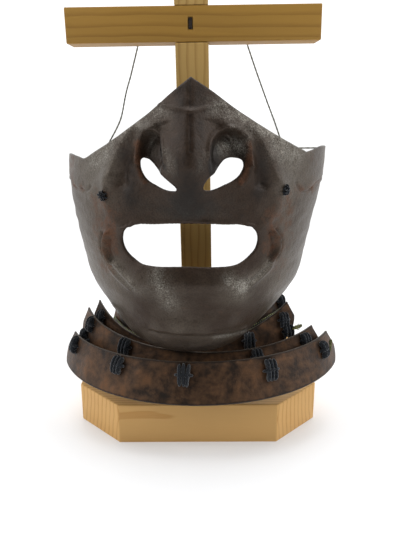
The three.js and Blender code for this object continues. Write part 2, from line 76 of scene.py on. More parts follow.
def add_area_light(name, place, target, size, watts):
    """A soft white square light at `place`, facing `target`, both in metres."""
    data = bpy.data.lights.new(name, "AREA")
    data.shape = "SQUARE"
    data.size = size
    data.energy = watts
    light = bpy.data.objects.new(name, data)
    light.location = place
    light.rotation_euler = (Vector(target) - Vector(place)).to_track_quat("-Z", "Y").to_euler()
    bpy.context.scene.collection.objects.link(light)


# ---------------------------------------------------------------- tables and curves


def read_table(rows, by, column):
    """Smooth cubic curve through a table's rows, held level beyond both ends.

    Each stretch is a cubic whose slopes at the rows are weighted means of the slopes beside them.
    """
    xs = np.array([row[by] for row in rows], float)
    ys = np.array([row[column] for row in rows], float)
    step = np.diff(xs)
    slope = np.diff(ys) / step
    tangent = np.empty_like(ys)
    tangent[0], tangent[-1] = slope[0], slope[-1]
    tangent[1:-1] = (slope[:-1] * step[1:] + slope[1:] * step[:-1]) / (step[:-1] + step[1:])

    def curve(value):
        x = np.clip(value, xs[0], xs[-1])
        row = np.clip(np.searchsorted(xs, x, side="right") - 1, 0, len(xs) - 2)
        h = step[row]
        s = (x - xs[row]) / h
        near = ys[row] * (1 + 2 * s) * (1 - s) ** 2 + tangent[row] * h * s * (1 - s) ** 2
        far = ys[row + 1] * s * s * (3 - 2 * s) + tangent[row + 1] * h * s * s * (s - 1)
        return near + far

    return curve


def smoothstep(low, high, value):
    s = np.clip((value - low) / (high - low), 0, 1)
    return s * s * (3 - 2 * s)


def to_stroke(start, bend, end, x, z, pieces=24):
    """Distance to a parabola through three points, and +1 or -1 for the side of it.

    The parabola is cut into short straight pieces; the nearest piece gives both numbers.
    """
    s = np.linspace(0, 1, pieces + 1)[:, None]
    points = (1 - s) ** 2 * np.array(start) + 2 * s * (1 - s) * np.array(bend) + s * s * np.array(end)
    best = np.full(np.shape(x), np.inf)
    side = np.ones(np.shape(x))
    for a, b in zip(points[:-1], points[1:]):
        dx, dz = b - a
        t = np.clip(((x - a[0]) * dx + (z - a[1]) * dz) / (dx * dx + dz * dz), 0, 1)
        away_x, away_z = x - a[0] - t * dx, z - a[1] - t * dz
        away = np.hypot(away_x, away_z)
        nearer = away < best
        best = np.where(nearer, away, best)
        side = np.where(nearer, np.sign(dx * away_z - dz * away_x + 1e-9), side)
    return best, side


def loop_through(points, count):
    """Closed smooth loop (centripetal spline) through a few points, as `count` points."""
    knots = np.array(points, float)
    size = len(knots)
    around = [np.roll(knots, 1 - k, axis=0) for k in range(4)]
    p0, p1, p2, p3 = around
    t01, t12, t23 = (np.linalg.norm(b - a, axis=1) ** 0.5 for a, b in ((p0, p1), (p1, p2), (p2, p3)))
    each = count // size
    s = (np.arange(each) / each)[None, :, None]
    t01, t12, t23 = (t[:, None, None] for t in (t01, t12, t23))
    p0, p1, p2, p3 = (p[:, None, :] for p in around)
    m1 = (p1 - p0) / t01 - (p2 - p0) / (t01 + t12) + (p2 - p1) / t12
    m2 = (p2 - p1) / t12 - (p3 - p1) / (t12 + t23) + (p3 - p2) / t23
    m1, m2 = m1 * t12, m2 * t12
    curve = (
        p1 * (2 * s**3 - 3 * s**2 + 1)
        + m1 * (s**3 - 2 * s**2 + s)
        + p2 * (-2 * s**3 + 3 * s**2)
        + m2 * (s**3 - s**2)
    )
    return curve.reshape(-1, 2)


def inside_distance(loop, x, z):
    """Signed distance to a closed loop, negative inside (even-odd rule on its straight pieces)."""
    best = np.full(np.shape(x), np.inf)
    inside = np.zeros(np.shape(x), bool)
    for a, b in zip(loop, np.roll(loop, -1, axis=0)):
        dx, dz = b - a
        t = np.clip(((x - a[0]) * dx + (z - a[1]) * dz) / (dx * dx + dz * dz + 1e-12), 0, 1)
        best = np.minimum(best, np.hypot(x - a[0] - t * dx, z - a[1] - t * dz))
        crosses = (a[1] > z) != (b[1] > z)
        inside ^= crosses & (x < a[0] + (z - a[1]) * dx / (dz if abs(dz) > 1e-9 else 1e-9))
    return np.where(inside, -best, best)


def waves(x, y, z, size, seed, count=10):
    """Smooth unevenness in -1..1: a sum of sine waves in random directions of about one length."""
    random = np.random.default_rng(seed)
    total = np.zeros(np.shape(x))
    for _ in range(count):
        way = random.normal(size=3)
        way *= 2 * np.pi / (size * random.uniform(0.7, 1.4)) / np.linalg.norm(way)
        total += np.sin(way[0] * x + way[1] * y + way[2] * z + random.uniform(0, 6.28))
    return total / np.sqrt(count * 2.0)


# ---------------------------------------------------------------- meshes


def add_mesh(name, points, faces, numbers=None):
    """A mesh object at the origin from points in mm, faces, and named numbers for each point."""
    mesh = bpy.data.meshes.new(name)
    mesh.from_pydata((np.asarray(points, float) * MM).tolist(), [], [list(map(int, f)) for f in faces])
    mesh.polygons.foreach_set("use_smooth", np.ones(len(mesh.polygons), bool))
    for label, values in (numbers or {}).items():
        layer = mesh.attributes.new(label, "FLOAT", "POINT")
        layer.data.foreach_set("value", np.asarray(values, np.float32).ravel())
    mesh.update()
    piece = bpy.data.objects.new(name, mesh)
    bpy.context.scene.collection.objects.link(piece)
    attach(piece, "root")
    return piece


def grid_faces(columns, rows, start=0, wrap=False):
    """Four-sided faces of a grid of points stored column after column; wrap joins the last column."""
    i, j = np.meshgrid(np.arange(columns if wrap else columns - 1), np.arange(rows - 1), indexing="ij")
    a = i * rows + j
    b = (i + 1) % columns * rows + j
    return (np.stack([a, b, b + 1, a + 1], -1).reshape(-1, 4) + start)


def tube_faces(rings, sides):
    """Faces of a tube stored ring after ring: its sides, then a cap on each end."""
    i, j = np.meshgrid(np.arange(rings - 1), np.arange(sides), indexing="ij")
    a, b = i * sides + j, i * sides + (j + 1) % sides
    faces = np.stack([a, a + sides, b + sides, b], -1).reshape(-1, 4).tolist()
    return faces + [list(range(sides)), list(range(rings * sides - 1, (rings - 1) * sides - 1, -1))]


def tube(path, radius, sides=8, flat=1.0, up=(0, 0, 1), twist=0.0, lobes=0, depth=0.0):
    """Points and faces of a capped tube carried along a path.

    Each ring is a circle of `radius` (a number, or one for each point), squashed by `flat` along
    its second direction, with `lobes` bumps of `depth` that turn by `twist` from end to end.
    """
    path = np.asarray(path, float)
    along = np.gradient(path, axis=0)
    along /= np.linalg.norm(along, axis=1)[:, None]
    side = np.cross(along, np.asarray(up, float))
    side /= np.linalg.norm(side, axis=1)[:, None]
    rise = np.cross(side, along)
    turn = np.linspace(0, 2 * np.pi, sides, endpoint=False)[None, :]
    share = np.linspace(0, 1, len(path))[:, None]
    size = np.broadcast_to(radius, len(path))[:, None] * (1 + depth * np.cos(lobes * (turn + twist * share)))
    rings = (
        path[:, None, :]
        + (size * np.cos(turn))[..., None] * side[:, None, :]
        + (size * np.sin(turn) * flat)[..., None] * rise[:, None, :]
    )
    return rings.reshape(-1, 3), tube_faces(len(path), sides)


def join(parts):
    """One list of points and faces from several."""
    points, faces, start = [], [], 0
    for some, shapes in parts:
        points.append(some)
        faces += [[index + start for index in face] for face in shapes]
        start += len(some)
    return np.concatenate(points), faces


# ---------------------------------------------------------------- finishes


class Value:
    """A number that a finish works out at each spot: one output socket with arithmetic."""

    def __init__(self, finish, socket):
        self.finish, self.socket = finish, socket

    def _math(self, kind, *inputs):
        settings = {"operation": kind}
        return self.finish.node("ShaderNodeMath", settings, dict(enumerate(inputs)))

    def __add__(self, other):
        return self._math("ADD", self, other)

    __radd__ = __add__

    def __mul__(self, other):
        return self._math("MULTIPLY", self, other)

    __rmul__ = __mul__

    def __sub__(self, other):
        return self._math("SUBTRACT", self, other)

    def __rsub__(self, other):
        return self._math("SUBTRACT", other, self)

    def __truediv__(self, other):
        return self._math("DIVIDE", self, other)

    def __pow__(self, other):
        return self._math("POWER", self, other)

    def wrap(self):
        return self._math("FRACT", self)

    def sine(self):
        return self._math("SINE", self)

    def size(self):
        return self._math("ABSOLUTE", self)

    def between(self, low, high):
        """0 below `low`, 1 above `high`, smooth between; a `low` above `high` turns it round."""
        settings = {"interpolation_type": "SMOOTHSTEP", "clamp": True}
        return self.finish.node(
            "ShaderNodeMapRange", settings, {"Value": self, "From Min": low, "From Max": high}
        )


class Finish:
    """A procedural material: its nodes are made by expressions, its shader by `shade`."""

    def __init__(self, name):
        self.material = bpy.data.materials.new(name)
        self.material.use_nodes = True
        self.tree = self.material.node_tree
        self.tree.nodes.clear()
        coordinates = self.node("ShaderNodeTexCoord", output="Object")
        self.place = self.node(
            "ShaderNodeVectorMath", {"operation": "SCALE"}, {0: coordinates, "Scale": 1 / MM}
        )

    def node(self, kind, settings=None, inputs=None, output=0):
        node = self.tree.nodes.new(kind)
        for label, value in (settings or {}).items():
            setattr(node, label, value)
        for key, value in (inputs or {}).items():
            socket = node.inputs[key]
            if isinstance(value, Value):
                self.tree.links.new(value.socket, socket)
            else:
                socket.default_value = value
        return Value(self, node.outputs[output])

    def noise(self, size, detail=3.0, rough=0.55, place=None, distortion=0.0):
        """Noise in 0..1 whose bumps are about `size` mm across."""
        inputs = {
            "Vector": place or self.place,
            "Scale": 1.0 / size,
            "Detail": detail,
            "Roughness": rough,
            "Distortion": distortion,
        }
        return self.node("ShaderNodeTexNoise", {"noise_dimensions": "3D"}, inputs)

    def number(self, label):
        """A number stored on the mesh."""
        return self.node("ShaderNodeAttribute", {"attribute_name": label}, output="Fac")

    def axes(self, place=None):
        """The three numbers of a place in mm."""
        parts = self.tree.nodes.new("ShaderNodeSeparateXYZ")
        self.tree.links.new((place or self.place).socket, parts.inputs[0])
        return [Value(self, output) for output in parts.outputs]

    def stretched(self, place=None, turn=(0, 0, 0), scale=(1, 1, 1)):
        """A place in mm, turned (degrees) and scaled along each axis."""
        angles = [float(np.radians(angle)) for angle in turn]
        inputs = {"Vector": place or self.place, "Rotation": angles, "Scale": scale}
        return self.node("ShaderNodeMapping", {}, inputs)

    def mix(self, first, second, share):
        """Colour `first` where share is 0, `second` where it is 1."""
        node = self.tree.nodes.new("ShaderNodeMix")
        node.data_type = "RGBA"
        for index, value in ((0, share), (6, first), (7, second)):
            if isinstance(value, Value):
                self.tree.links.new(value.socket, node.inputs[index])
            else:
                node.inputs[index].default_value = value if index == 0 else (*value, 1.0)
        return Value(self, node.outputs[2])

    def bump(self, height, depth, under=None):
        """Surface normal from a height in 0..1 that stands for `depth` mm."""
        inputs = {"Height": height, "Distance": depth * MM, "Strength": 1.0}
        if under is not None:
            inputs["Normal"] = under
        return self.node("ShaderNodeBump", {}, inputs)

    def shade(self, **sockets):
        """The principled shader; keys are socket names with _ for spaces."""
        shader = self.tree.nodes.new("ShaderNodeBsdfPrincipled")
        for label, value in sockets.items():
            socket = shader.inputs[label.replace("_", " ")]
            if isinstance(value, Value):
                self.tree.links.new(value.socket, socket)
            elif isinstance(value, tuple):
                socket.default_value = (*value, 1.0)
            else:
                socket.default_value = value
        output = self.tree.nodes.new("ShaderNodeOutputMaterial")
        self.tree.links.new(shader.outputs[0], output.inputs["Surface"])
        return self.material


def clothe(piece, finish):
    """Give a piece one finish in place of any that it has."""
    piece.data.materials.clear()
    piece.data.materials.append(finish)


# Linear colours.
IRON_DARK = (0.0090, 0.0055, 0.0036)
IRON_BROWN = (0.034, 0.0190, 0.0105)
IRON_GREY = (0.100, 0.080, 0.060)
RUST = (0.115, 0.046, 0.020)
SILVER = (0.42, 0.40, 0.35)
LAME_DARK = (0.014, 0.0085, 0.0055)
LAME_BROWN = (0.095, 0.048, 0.023)
LAME_RUST = (0.170, 0.072, 0.026)
SILK_BLACK = (0.0045, 0.0055, 0.0080)
SILK_BLUE = (0.022, 0.031, 0.042)
SILK_GREEN = (0.30, 0.31, 0.075)
STRING_GREY = (0.36, 0.37, 0.32)


def face_finish():
    """Russet iron: dark brown lacquered iron, greyer on the cheeks, rusty in places, with fine
    silver wear where it has been rubbed, and painted light: painted highlights, lighter with silver
    specks, inside the nose hollows and beside the nose, and painted shade where `dark` is marked.
    `shine`, `rust`, `dark`, `raised`, `inside` and `cheek` are numbers stored on the plate."""
    f = Finish("russet iron")
    shine, rust, dark = f.number("shine"), f.number("rust"), f.number("dark")
    raised, inside, cheek = f.number("raised"), f.number("inside"), f.number("cheek")
    broad, middle, grain = f.noise(22, 4), f.noise(5, 5, 0.6), f.noise(0.8, 4, 0.7)
    fine = f.noise(0.42, 2, 0.8)
    # Greyer towards the cheeks, at random, and where rubbed wear and painted highlights are marked.
    grey = (cheek * 0.75 + (broad - 0.5) * 1.1 + shine * 0.45).between(0.05, 0.95)
    colour = f.mix(IRON_BROWN, IRON_GREY, grey)
    # Towards near black: at random, in the grooves of the fine relief (lighter on its ridges), and as painted
    # shade where `dark` is marked.
    colour = f.mix(colour, IRON_DARK, (dark * 0.9 + (middle - 0.5) * 0.9 - raised * 0.35).between(0.15, 1.0))
    # Lighter grey where rubbed wear and painted highlights are marked.
    colour = f.mix(colour, (0.15, 0.14, 0.12), shine * (middle * 0.8 + grain * 0.5).between(0.4, 0.85) * 0.6)
    rusty = (rust + (middle - 0.52) * 1.6 + (broad - 0.5) * 0.6).between(0.25, 1.0)
    colour = f.mix(colour, RUST, rusty * 0.8)
    colour = f.mix(colour, IRON_DARK, (grain - 0.3).between(0.28, 0.0) * 0.55)
    # Silver specks: a few everywhere, many where rubbed wear and painted highlights are marked, some on
    # ridges, none on the back.
    spots = (fine * 0.6 + grain * 0.6 + shine * 0.2 + (middle - 0.5) * 0.3).between(0.62, 0.95)
    wear_and_highlight_specks = (spots * (0.02 + shine * 0.75 + raised.between(0.3, 1.6) * 0.2) * (1 - inside)).between(0.0, 1.0)
    colour = f.mix(colour, SILVER, wear_and_highlight_specks)
    colour = f.mix(colour, IRON_DARK, inside * 0.85)
    pits = f.bump(f.noise(1.1, 4, 0.65), 0.16)
    dents = f.bump(middle, 0.55, pits)
    return f.shade(
        Base_Color=colour,
        Metallic=wear_and_highlight_specks * 0.5 + 0.35,
        Roughness=0.46 - wear_and_highlight_specks * 0.10 + rusty * 0.16 + (grain - 0.5) * 0.14 - cheek * 0.06,
        Normal=dents,
        Specular_IOR_Level=0.3,
    )


def lame_finish():
    """Rusty brown iron with dark rims, scattered lighter scuffs and a thin lighter line along every
    edge, partly edge wear and partly painted highlight; `edge` is the distance to the plate's edge in
    mm and `inside` marks its back."""
    f = Finish("brown iron")
    edge, inside = f.number("edge"), f.number("inside")
    broad, middle, grain = f.noise(16, 4, 0.6, distortion=0.6), f.noise(4.5, 5, 0.65), f.noise(0.8, 4, 0.7)
    colour = f.mix(LAME_DARK, LAME_BROWN, (broad * 0.7 + middle * 0.6).between(0.45, 0.82))
    colour = f.mix(colour, LAME_RUST, (middle * 0.8 + (broad - 0.5) * 0.9).between(0.46, 0.78) * 0.65)
    colour = f.mix(colour, IRON_GREY, (grain + (middle - 0.5) * 0.5).between(0.62, 0.78) * 0.45)
    rim = (edge + (middle - 0.5) * 2.6).between(1.7, 0.4)
    colour = f.mix(colour, LAME_DARK, rim * 0.85)
    # A thin lighter line along every edge: partly edge wear, partly painted highlight.
    colour = f.mix(colour, IRON_GREY, edge.between(0.42, 0.1) * 0.7)
    colour = f.mix(colour, LAME_DARK, inside * 0.6)
    pits = f.bump(f.noise(1.1, 4, 0.65), 0.13)
    dents = f.bump(middle, 0.4, pits)
    return f.shade(
        Base_Color=colour,
        Metallic=0.3,
        Roughness=0.50 + (middle - 0.5) * 0.3 + (grain - 0.5) * 0.15,
        Normal=dents,
        Specular_IOR_Level=0.3,
    )


def silk_finish(name, deep, light, braid=1.5):
    """Braided silk: `along` and `round` (mm) run with the strand; slanting threads cross it."""
    f = Finish(name)
    along, across = f.number("along"), f.number("round")
    rise = ((along + across) * (6.283 / braid)).sine() * 0.5 + 0.5
    fall = ((along - across) * (6.283 / braid)).sine() * 0.5 + 0.5
    weave = (rise * fall) ** 0.5
    fuzz = f.noise(0.35, 3, 0.7)
    patch = f.noise(3, 3)
    share = (weave * 0.55 + (fuzz - 0.5) * 0.9 + (patch - 0.4) * 0.8).between(0.1, 1.0)
    colour = f.mix(deep, light, share)
    return f.shade(
        Base_Color=colour,
        Roughness=0.82,
        Normal=f.bump(weave * 0.75 + fuzz * 0.5, 0.28),
        Sheen_Weight=0.35,
        Sheen_Roughness=0.4,
        Specular_IOR_Level=0.3,
    )


def check_lace_finish():
    """Braid of black silk with small yellow-green checks; `along` and `round` in mm."""
    f = Finish("checked lace")
    along, across = f.number("along"), f.number("round")
    one = ((along + across) * (3.1416 / 1.5)).sine()
    two = ((along - across) * (3.1416 / 1.5)).sine()
    check = (one * two).between(0.12, 0.3)
    fuzz = f.noise(0.5, 3, 0.7)
    colour = f.mix(SILK_BLACK, SILK_GREEN, check * (fuzz + (f.noise(4, 3) - 0.5)).between(0.25, 0.6) * 0.8)
    return f.shade(
        Base_Color=colour,
        Roughness=0.85,
        Normal=f.bump((one * two).size() * 0.7 + fuzz * 0.4, 0.3),
        Sheen_Weight=0.3,
    )


def string_finish():
    """Grey-green twisted string: the twist comes from the shape, the fibres from fine noise."""
    f = Finish("grey string")
    fibre = f.noise(0.3, 3, 0.7)
    colour = f.mix(tuple(c * 0.45 for c in STRING_GREY), STRING_GREY, fibre.between(0.3, 0.7))
    return f.shade(Base_Color=colour, Roughness=0.9, Normal=f.bump(fibre, 0.15), Sheen_Weight=0.2)


def steel_finish():
    """Dark dull steel with rusty specks."""
    f = Finish("dark steel")
    grain = f.noise(0.6, 4, 0.7)
    colour = f.mix((0.018, 0.014, 0.012), (0.09, 0.05, 0.03), grain.between(0.45, 0.8))
    return f.shade(Base_Color=colour, Roughness=0.55, Metallic=0.5, Normal=f.bump(grain, 0.1))


def pine_finish(name, early, late, grain_turn, pith, spacing):
    """Pine cut from a log: rings round a pith line, fine fibres along the grain.

    grain_turn (degrees) turns the piece so that its grain runs along Z. pith (mm) is where the
    log's middle is in that turned frame, and its rings are `spacing` mm apart.
    """
    f = Finish(name)
    turned = f.stretched(turn=grain_turn)
    x, y, _ = f.axes(turned)
    drift = f.stretched(turned, scale=(0.05, 0.05, 0.008))
    wander = f.noise(1.0, 3, 0.5, place=drift) - 0.5
    across, deep = x - pith[0] + wander * 10.0, y - pith[1] + wander * 7.0
    ring = ((across * across + deep * deep) ** 0.5) / spacing + wander * 1.2
    phase = ring.wrap()
    latewood = phase.between(0.45, 0.93) * (1 - phase.between(0.955, 1.0))
    hair = f.stretched(turned, scale=(2.4, 2.4, 0.06))
    fibre = f.noise(1.0, 4, 0.6, place=hair)
    cloud = f.stretched(turned, scale=(0.06, 0.06, 0.012))
    blotch = f.noise(1.0, 3, 0.5, place=cloud)
    share = (latewood * 0.62 + (fibre - 0.5) * 0.55 + (blotch - 0.5) * 0.6).between(-0.12, 1.0)
    colour = f.mix(early, late, share)
    return f.shade(
        Base_Color=colour,
        Roughness=0.52 + (fibre - 0.5) * 0.2,
        Normal=f.bump(fibre * 0.7 + latewood * 0.5, 0.07),
        Specular_IOR_Level=0.25,
    )


# ---------------------------------------------------------------- the face plate's shape

MASK_AT = (-0.3, 0.0, 134.0)
MASK_YAW = -2.3  # degrees
IRON = 1.8
REAR_ANGLE = 92.0
NOSE_WIDTH = 14.0

SECTIONS = [
    dict(z=-73, middle=-2.0, half=52.0, depth=78.0),
    dict(z=-66, middle=-2.5, half=54.5, depth=84.0),
    dict(z=-58, middle=-2.2, half=57.5, depth=88.0),
    dict(z=-50, middle=-1.6, half=63.0, depth=91.0),
    dict(z=-38, middle=-1.3, half=71.0, depth=93.0),
    dict(z=-20, middle=-1.5, half=75.5, depth=94.0),
    dict(z=0, middle=-1.5, half=79.5, depth=94.0),
    dict(z=20, middle=-0.8, half=83.0, depth=92.5),
    dict(z=42, middle=0.3, half=83.5, depth=90.0),
    dict(z=62, middle=0.6, half=83.0, depth=87.0),
    dict(z=86, middle=0.8, half=81.0, depth=82.0),
]
NOSE = [
    dict(z=-10, out=0), dict(z=4, out=0), dict(z=14, out=2.5), dict(z=26, out=8), dict(z=36, out=13.5),
    dict(z=46, out=14.5), dict(z=56, out=12), dict(z=68, out=8), dict(z=86, out=3),
]
UPPER_EDGE = [
    dict(angle=0, left=83.2, right=83.2),
    dict(angle=5.7, left=76.6, right=78.0),
    dict(angle=17.1, left=63.6, right=66.8),
    dict(angle=29.4, left=52.6, right=56.8),
    dict(angle=43.2, left=43.4, right=48.0),
    dict(angle=49.4, left=40.0, right=44.8),
    dict(angle=51.6, left=39.8, right=43.7),
    dict(angle=54, left=40.2, right=44.0),
    dict(angle=64, left=40.6, right=45.6),
    dict(angle=80, left=39.6, right=44.6),
    dict(angle=92, left=36.5, right=40.6),
]
LOWER_EDGE = [
    dict(angle=0, z=-72.4), dict(angle=12, z=-72.0), dict(angle=24, z=-70.5), dict(angle=36, z=-66.6),
    dict(angle=50, z=-59.1), dict(angle=62, z=-50.6), dict(angle=72, z=-41.1), dict(angle=80, z=-31.1),
    dict(angle=86, z=-18.0), dict(angle=92, z=-10.0),
]

# Broad embossing: it shows on the plate's back too. `out` and `in_` are the widths on the two
# sides of the stroke, walked from start to end with `in_` on the right-hand side.
BROAD = [
    dict(start=(18, 60), bend=(37, 56), end=(47, 28), out=6.5, in_=3.2, rise=2.6),
    dict(start=(-18, 59), bend=(-36, 55), end=(-45, 29), out=3.2, in_=6.5, rise=2.6),
    dict(start=(28, 55.5), bend=(39, 48), end=(38.5, 29), out=3.2, in_=3.2, rise=-1.9),
    dict(start=(-27, 54.5), bend=(-37, 47), end=(-36.5, 29), out=3.2, in_=3.2, rise=-1.9),
    dict(start=(-26, -25), bend=(0, -28), end=(25, -24), out=8, in_=8, rise=3.6),
    dict(start=(-20, -43), bend=(0, -45), end=(20, -43), out=7, in_=7, rise=-1.5),
    dict(start=(-18, -53), bend=(0, -55), end=(20, -53), out=6, in_=6, rise=1.2),
    dict(start=(-45, 31), bend=(-52, 13), end=(-39, 4.5), out=3.6, in_=3.6, rise=1.0),
    dict(start=(47, 30), bend=(53, 14), end=(38, 3.5), out=3.6, in_=3.6, rise=1.0),
    dict(start=(-47.5, 0), bend=(-53, -17), end=(-33, -28), out=3.2, in_=3.2, rise=1.2),
    dict(start=(47.5, 0), bend=(53, -17), end=(33, -27), out=3.2, in_=3.2, rise=1.2),
]

# Fine embossing, only on the front.
FINE = [
    # nose: keel, its narrow crease, the wrinkle across the bridge
    dict(start=(0.4, 84), bend=(0.9, 60), end=(1.2, 40), out=3.4, in_=3.4, rise=0.9),
    dict(start=(0.5, 84), bend=(0.9, 64), end=(1.2, 47), out=0.55, in_=0.55, rise=-0.75),
    dict(start=(0.7, 66.0), bend=(7.5, 67.2), end=(16, 69.8), out=1.3, in_=0.9, rise=0.85),
    dict(start=(0.7, 66.0), bend=(-7, 67.2), end=(-15.5, 69.8), out=0.9, in_=1.3, rise=0.85),
    # ridges round the hollows
    dict(start=(10.4, 44), bend=(8.4, 57.5), end=(20.5, 57.8), out=1.5, in_=0.9, rise=1.6),
    dict(start=(20.5, 57.8), bend=(32.5, 57.5), end=(32.6, 38), out=2.4, in_=1.3, rise=1.6),
    dict(start=(32.6, 38), bend=(32.3, 32), end=(27.5, 29), out=2.0, in_=1.6, rise=0.8),
    dict(start=(-12.3, 41), bend=(-12.2, 57.6), end=(-19.4, 57.5), out=0.9, in_=1.5, rise=1.4),
    dict(start=(-19.4, 57.5), bend=(-27.5, 57), end=(-28, 41), out=1.3, in_=2.4, rise=1.6),
    dict(start=(-28, 41), bend=(-28.2, 34), end=(-24.5, 30.5), out=1.6, in_=2.0, rise=0.8),
    dict(start=(-14.9, 54.5), bend=(-15, 46), end=(-12.4, 38.5), out=1.1, in_=1.1, rise=-1.9),
    dict(start=(12.4, 52), bend=(11, 44), end=(11.6, 36), out=1.0, in_=1.0, rise=-1.3),
    # upper lip and mouth corners
    dict(start=(-35, 5.8), bend=(0, 12.6), end=(34, 5.8), out=1.0, in_=1.0, rise=0.7),
    dict(start=(-45, 4.6), bend=(-38, 4.6), end=(-33.5, 7), out=0.9, in_=0.9, rise=-0.6),
    # cheek creases, left then right: outer groove, ridge, inner groove, two low ridges
    dict(start=(-51.5, -1), bend=(-56, -12.5), end=(-47, -20), out=1.0, in_=1.0, rise=-1.7),
    dict(start=(-47.4, -0.5), bend=(-52.4, -9.5), end=(-46.4, -17.4), out=1.3, in_=1.3, rise=2.0),
    dict(start=(-46.3, -4), bend=(-48.4, -10.6), end=(-44.6, -16.4), out=0.9, in_=0.9, rise=-1.7),
    dict(start=(-43.5, -17.6), bend=(-38, -23), end=(-28.8, -28.6), out=1.1, in_=1.1, rise=0.9),
    dict(start=(-48, -21.6), bend=(-43, -27), end=(-34.6, -31.2), out=1.1, in_=1.1, rise=0.9),
    dict(start=(-45.8, -20), bend=(-40, -25), end=(-31.5, -30.2), out=0.9, in_=0.9, rise=-0.8),
    dict(start=(47.9, 2), bend=(54.4, -6.5), end=(49, -15.6), out=1.0, in_=1.0, rise=-1.7),
    dict(start=(46.5, 0.5), bend=(52.6, -7.5), end=(44.8, -16.2), out=1.3, in_=1.3, rise=2.0),
    dict(start=(44.6, 0.6), bend=(48.6, -7.5), end=(43.8, -15.6), out=0.9, in_=0.9, rise=-1.7),
    dict(start=(44.2, -16.5), bend=(38.6, -19.8), end=(31, -24.2), out=1.1, in_=1.1, rise=0.9),
    dict(start=(44.9, -20.4), bend=(40, -24.8), end=(32.8, -28.7), out=1.1, in_=1.1, rise=0.9),
    dict(start=(44.6, -18.4), bend=(39.4, -22.4), end=(31.8, -26.6), out=0.9, in_=0.9, rise=-0.8),
    # chin
    dict(start=(-24, -57.6), bend=(4, -56), end=(32.5, -62), out=0.8, in_=1.4, rise=-0.9),
    dict(start=(-24, -55.8), bend=(4, -54.2), end=(32.5, -60.2), out=1.2, in_=0.8, rise=0.45),
    # lobed lower edge of the ears
    dict(start=(59.2, 27.6), bend=(62.5, 17.4), end=(70.5, 21.2), out=0.9, in_=0.7, rise=-0.8),
    dict(start=(70.5, 21.2), bend=(73.5, 26.4), end=(81, 25.5), out=0.9, in_=0.7, rise=-0.6),
    dict(start=(-58.4, 25.0), bend=(-60.5, 20.4), end=(-65.6, 22.4), out=0.9, in_=0.9, rise=-0.8),
    dict(start=(-65.6, 22.4), bend=(-71, 20.4), end=(-81, 27.5), out=0.9, in_=0.9, rise=-0.6),
]

HOLLOWS = [
    dict(x=20.8, z=43.5, wide=11.2, high=14.5, deep=7.0, steep=(-0.75, 0.65)),
    dict(x=-20.3, z=43.3, wide=7.6, high=14.5, deep=6.2, steep=(0.95, 0.3)),
]

MOUTH = [
    (0, 8.9), (16, 8.6), (30.5, 7.0), (35.2, 4.0), (37.8, -1.6), (36.6, -7.2), (33.2, -11.2), (28.0, -14.2),
    (22.0, -15.3), (0, -14.9),
]
NOSE_HOLE_RIGHT = [
    (7.7, 27.8), (8.6, 26.6), (11.1, 26.2), (14.2, 26.8), (17.4, 28.1), (20.6, 29.8), (23.4, 31.4),
    (25.5, 33.0), (27.1, 35.2), (28.2, 38.2), (27.6, 40.9), (25.6, 42.2), (21.6, 42.8), (18.5, 41.7),
    (15.7, 38.6), (14.0, 36.2), (11.6, 33.9), (9.0, 31.2),
]
NOSE_HOLE_LEFT = [
    (-24.8, 42.5), (-22.7, 41.8), (-20.5, 40.2), (-18.3, 38.1), (-16.2, 35.8), (-13.9, 33.8),
    (-11.6, 32.0), (-9.2, 30.2), (-7.1, 28.5), (-6.4, 27.2), (-7.2, 26.2), (-9.0, 26.0), (-11.1, 26.1),
    (-14.6, 27.0), (-17.8, 28.4), (-21.0, 30.4), (-23.4, 32.6), (-24.9, 34.9), (-25.8, 37.2),
    (-26.1, 39.5), (-25.9, 41.2),
]
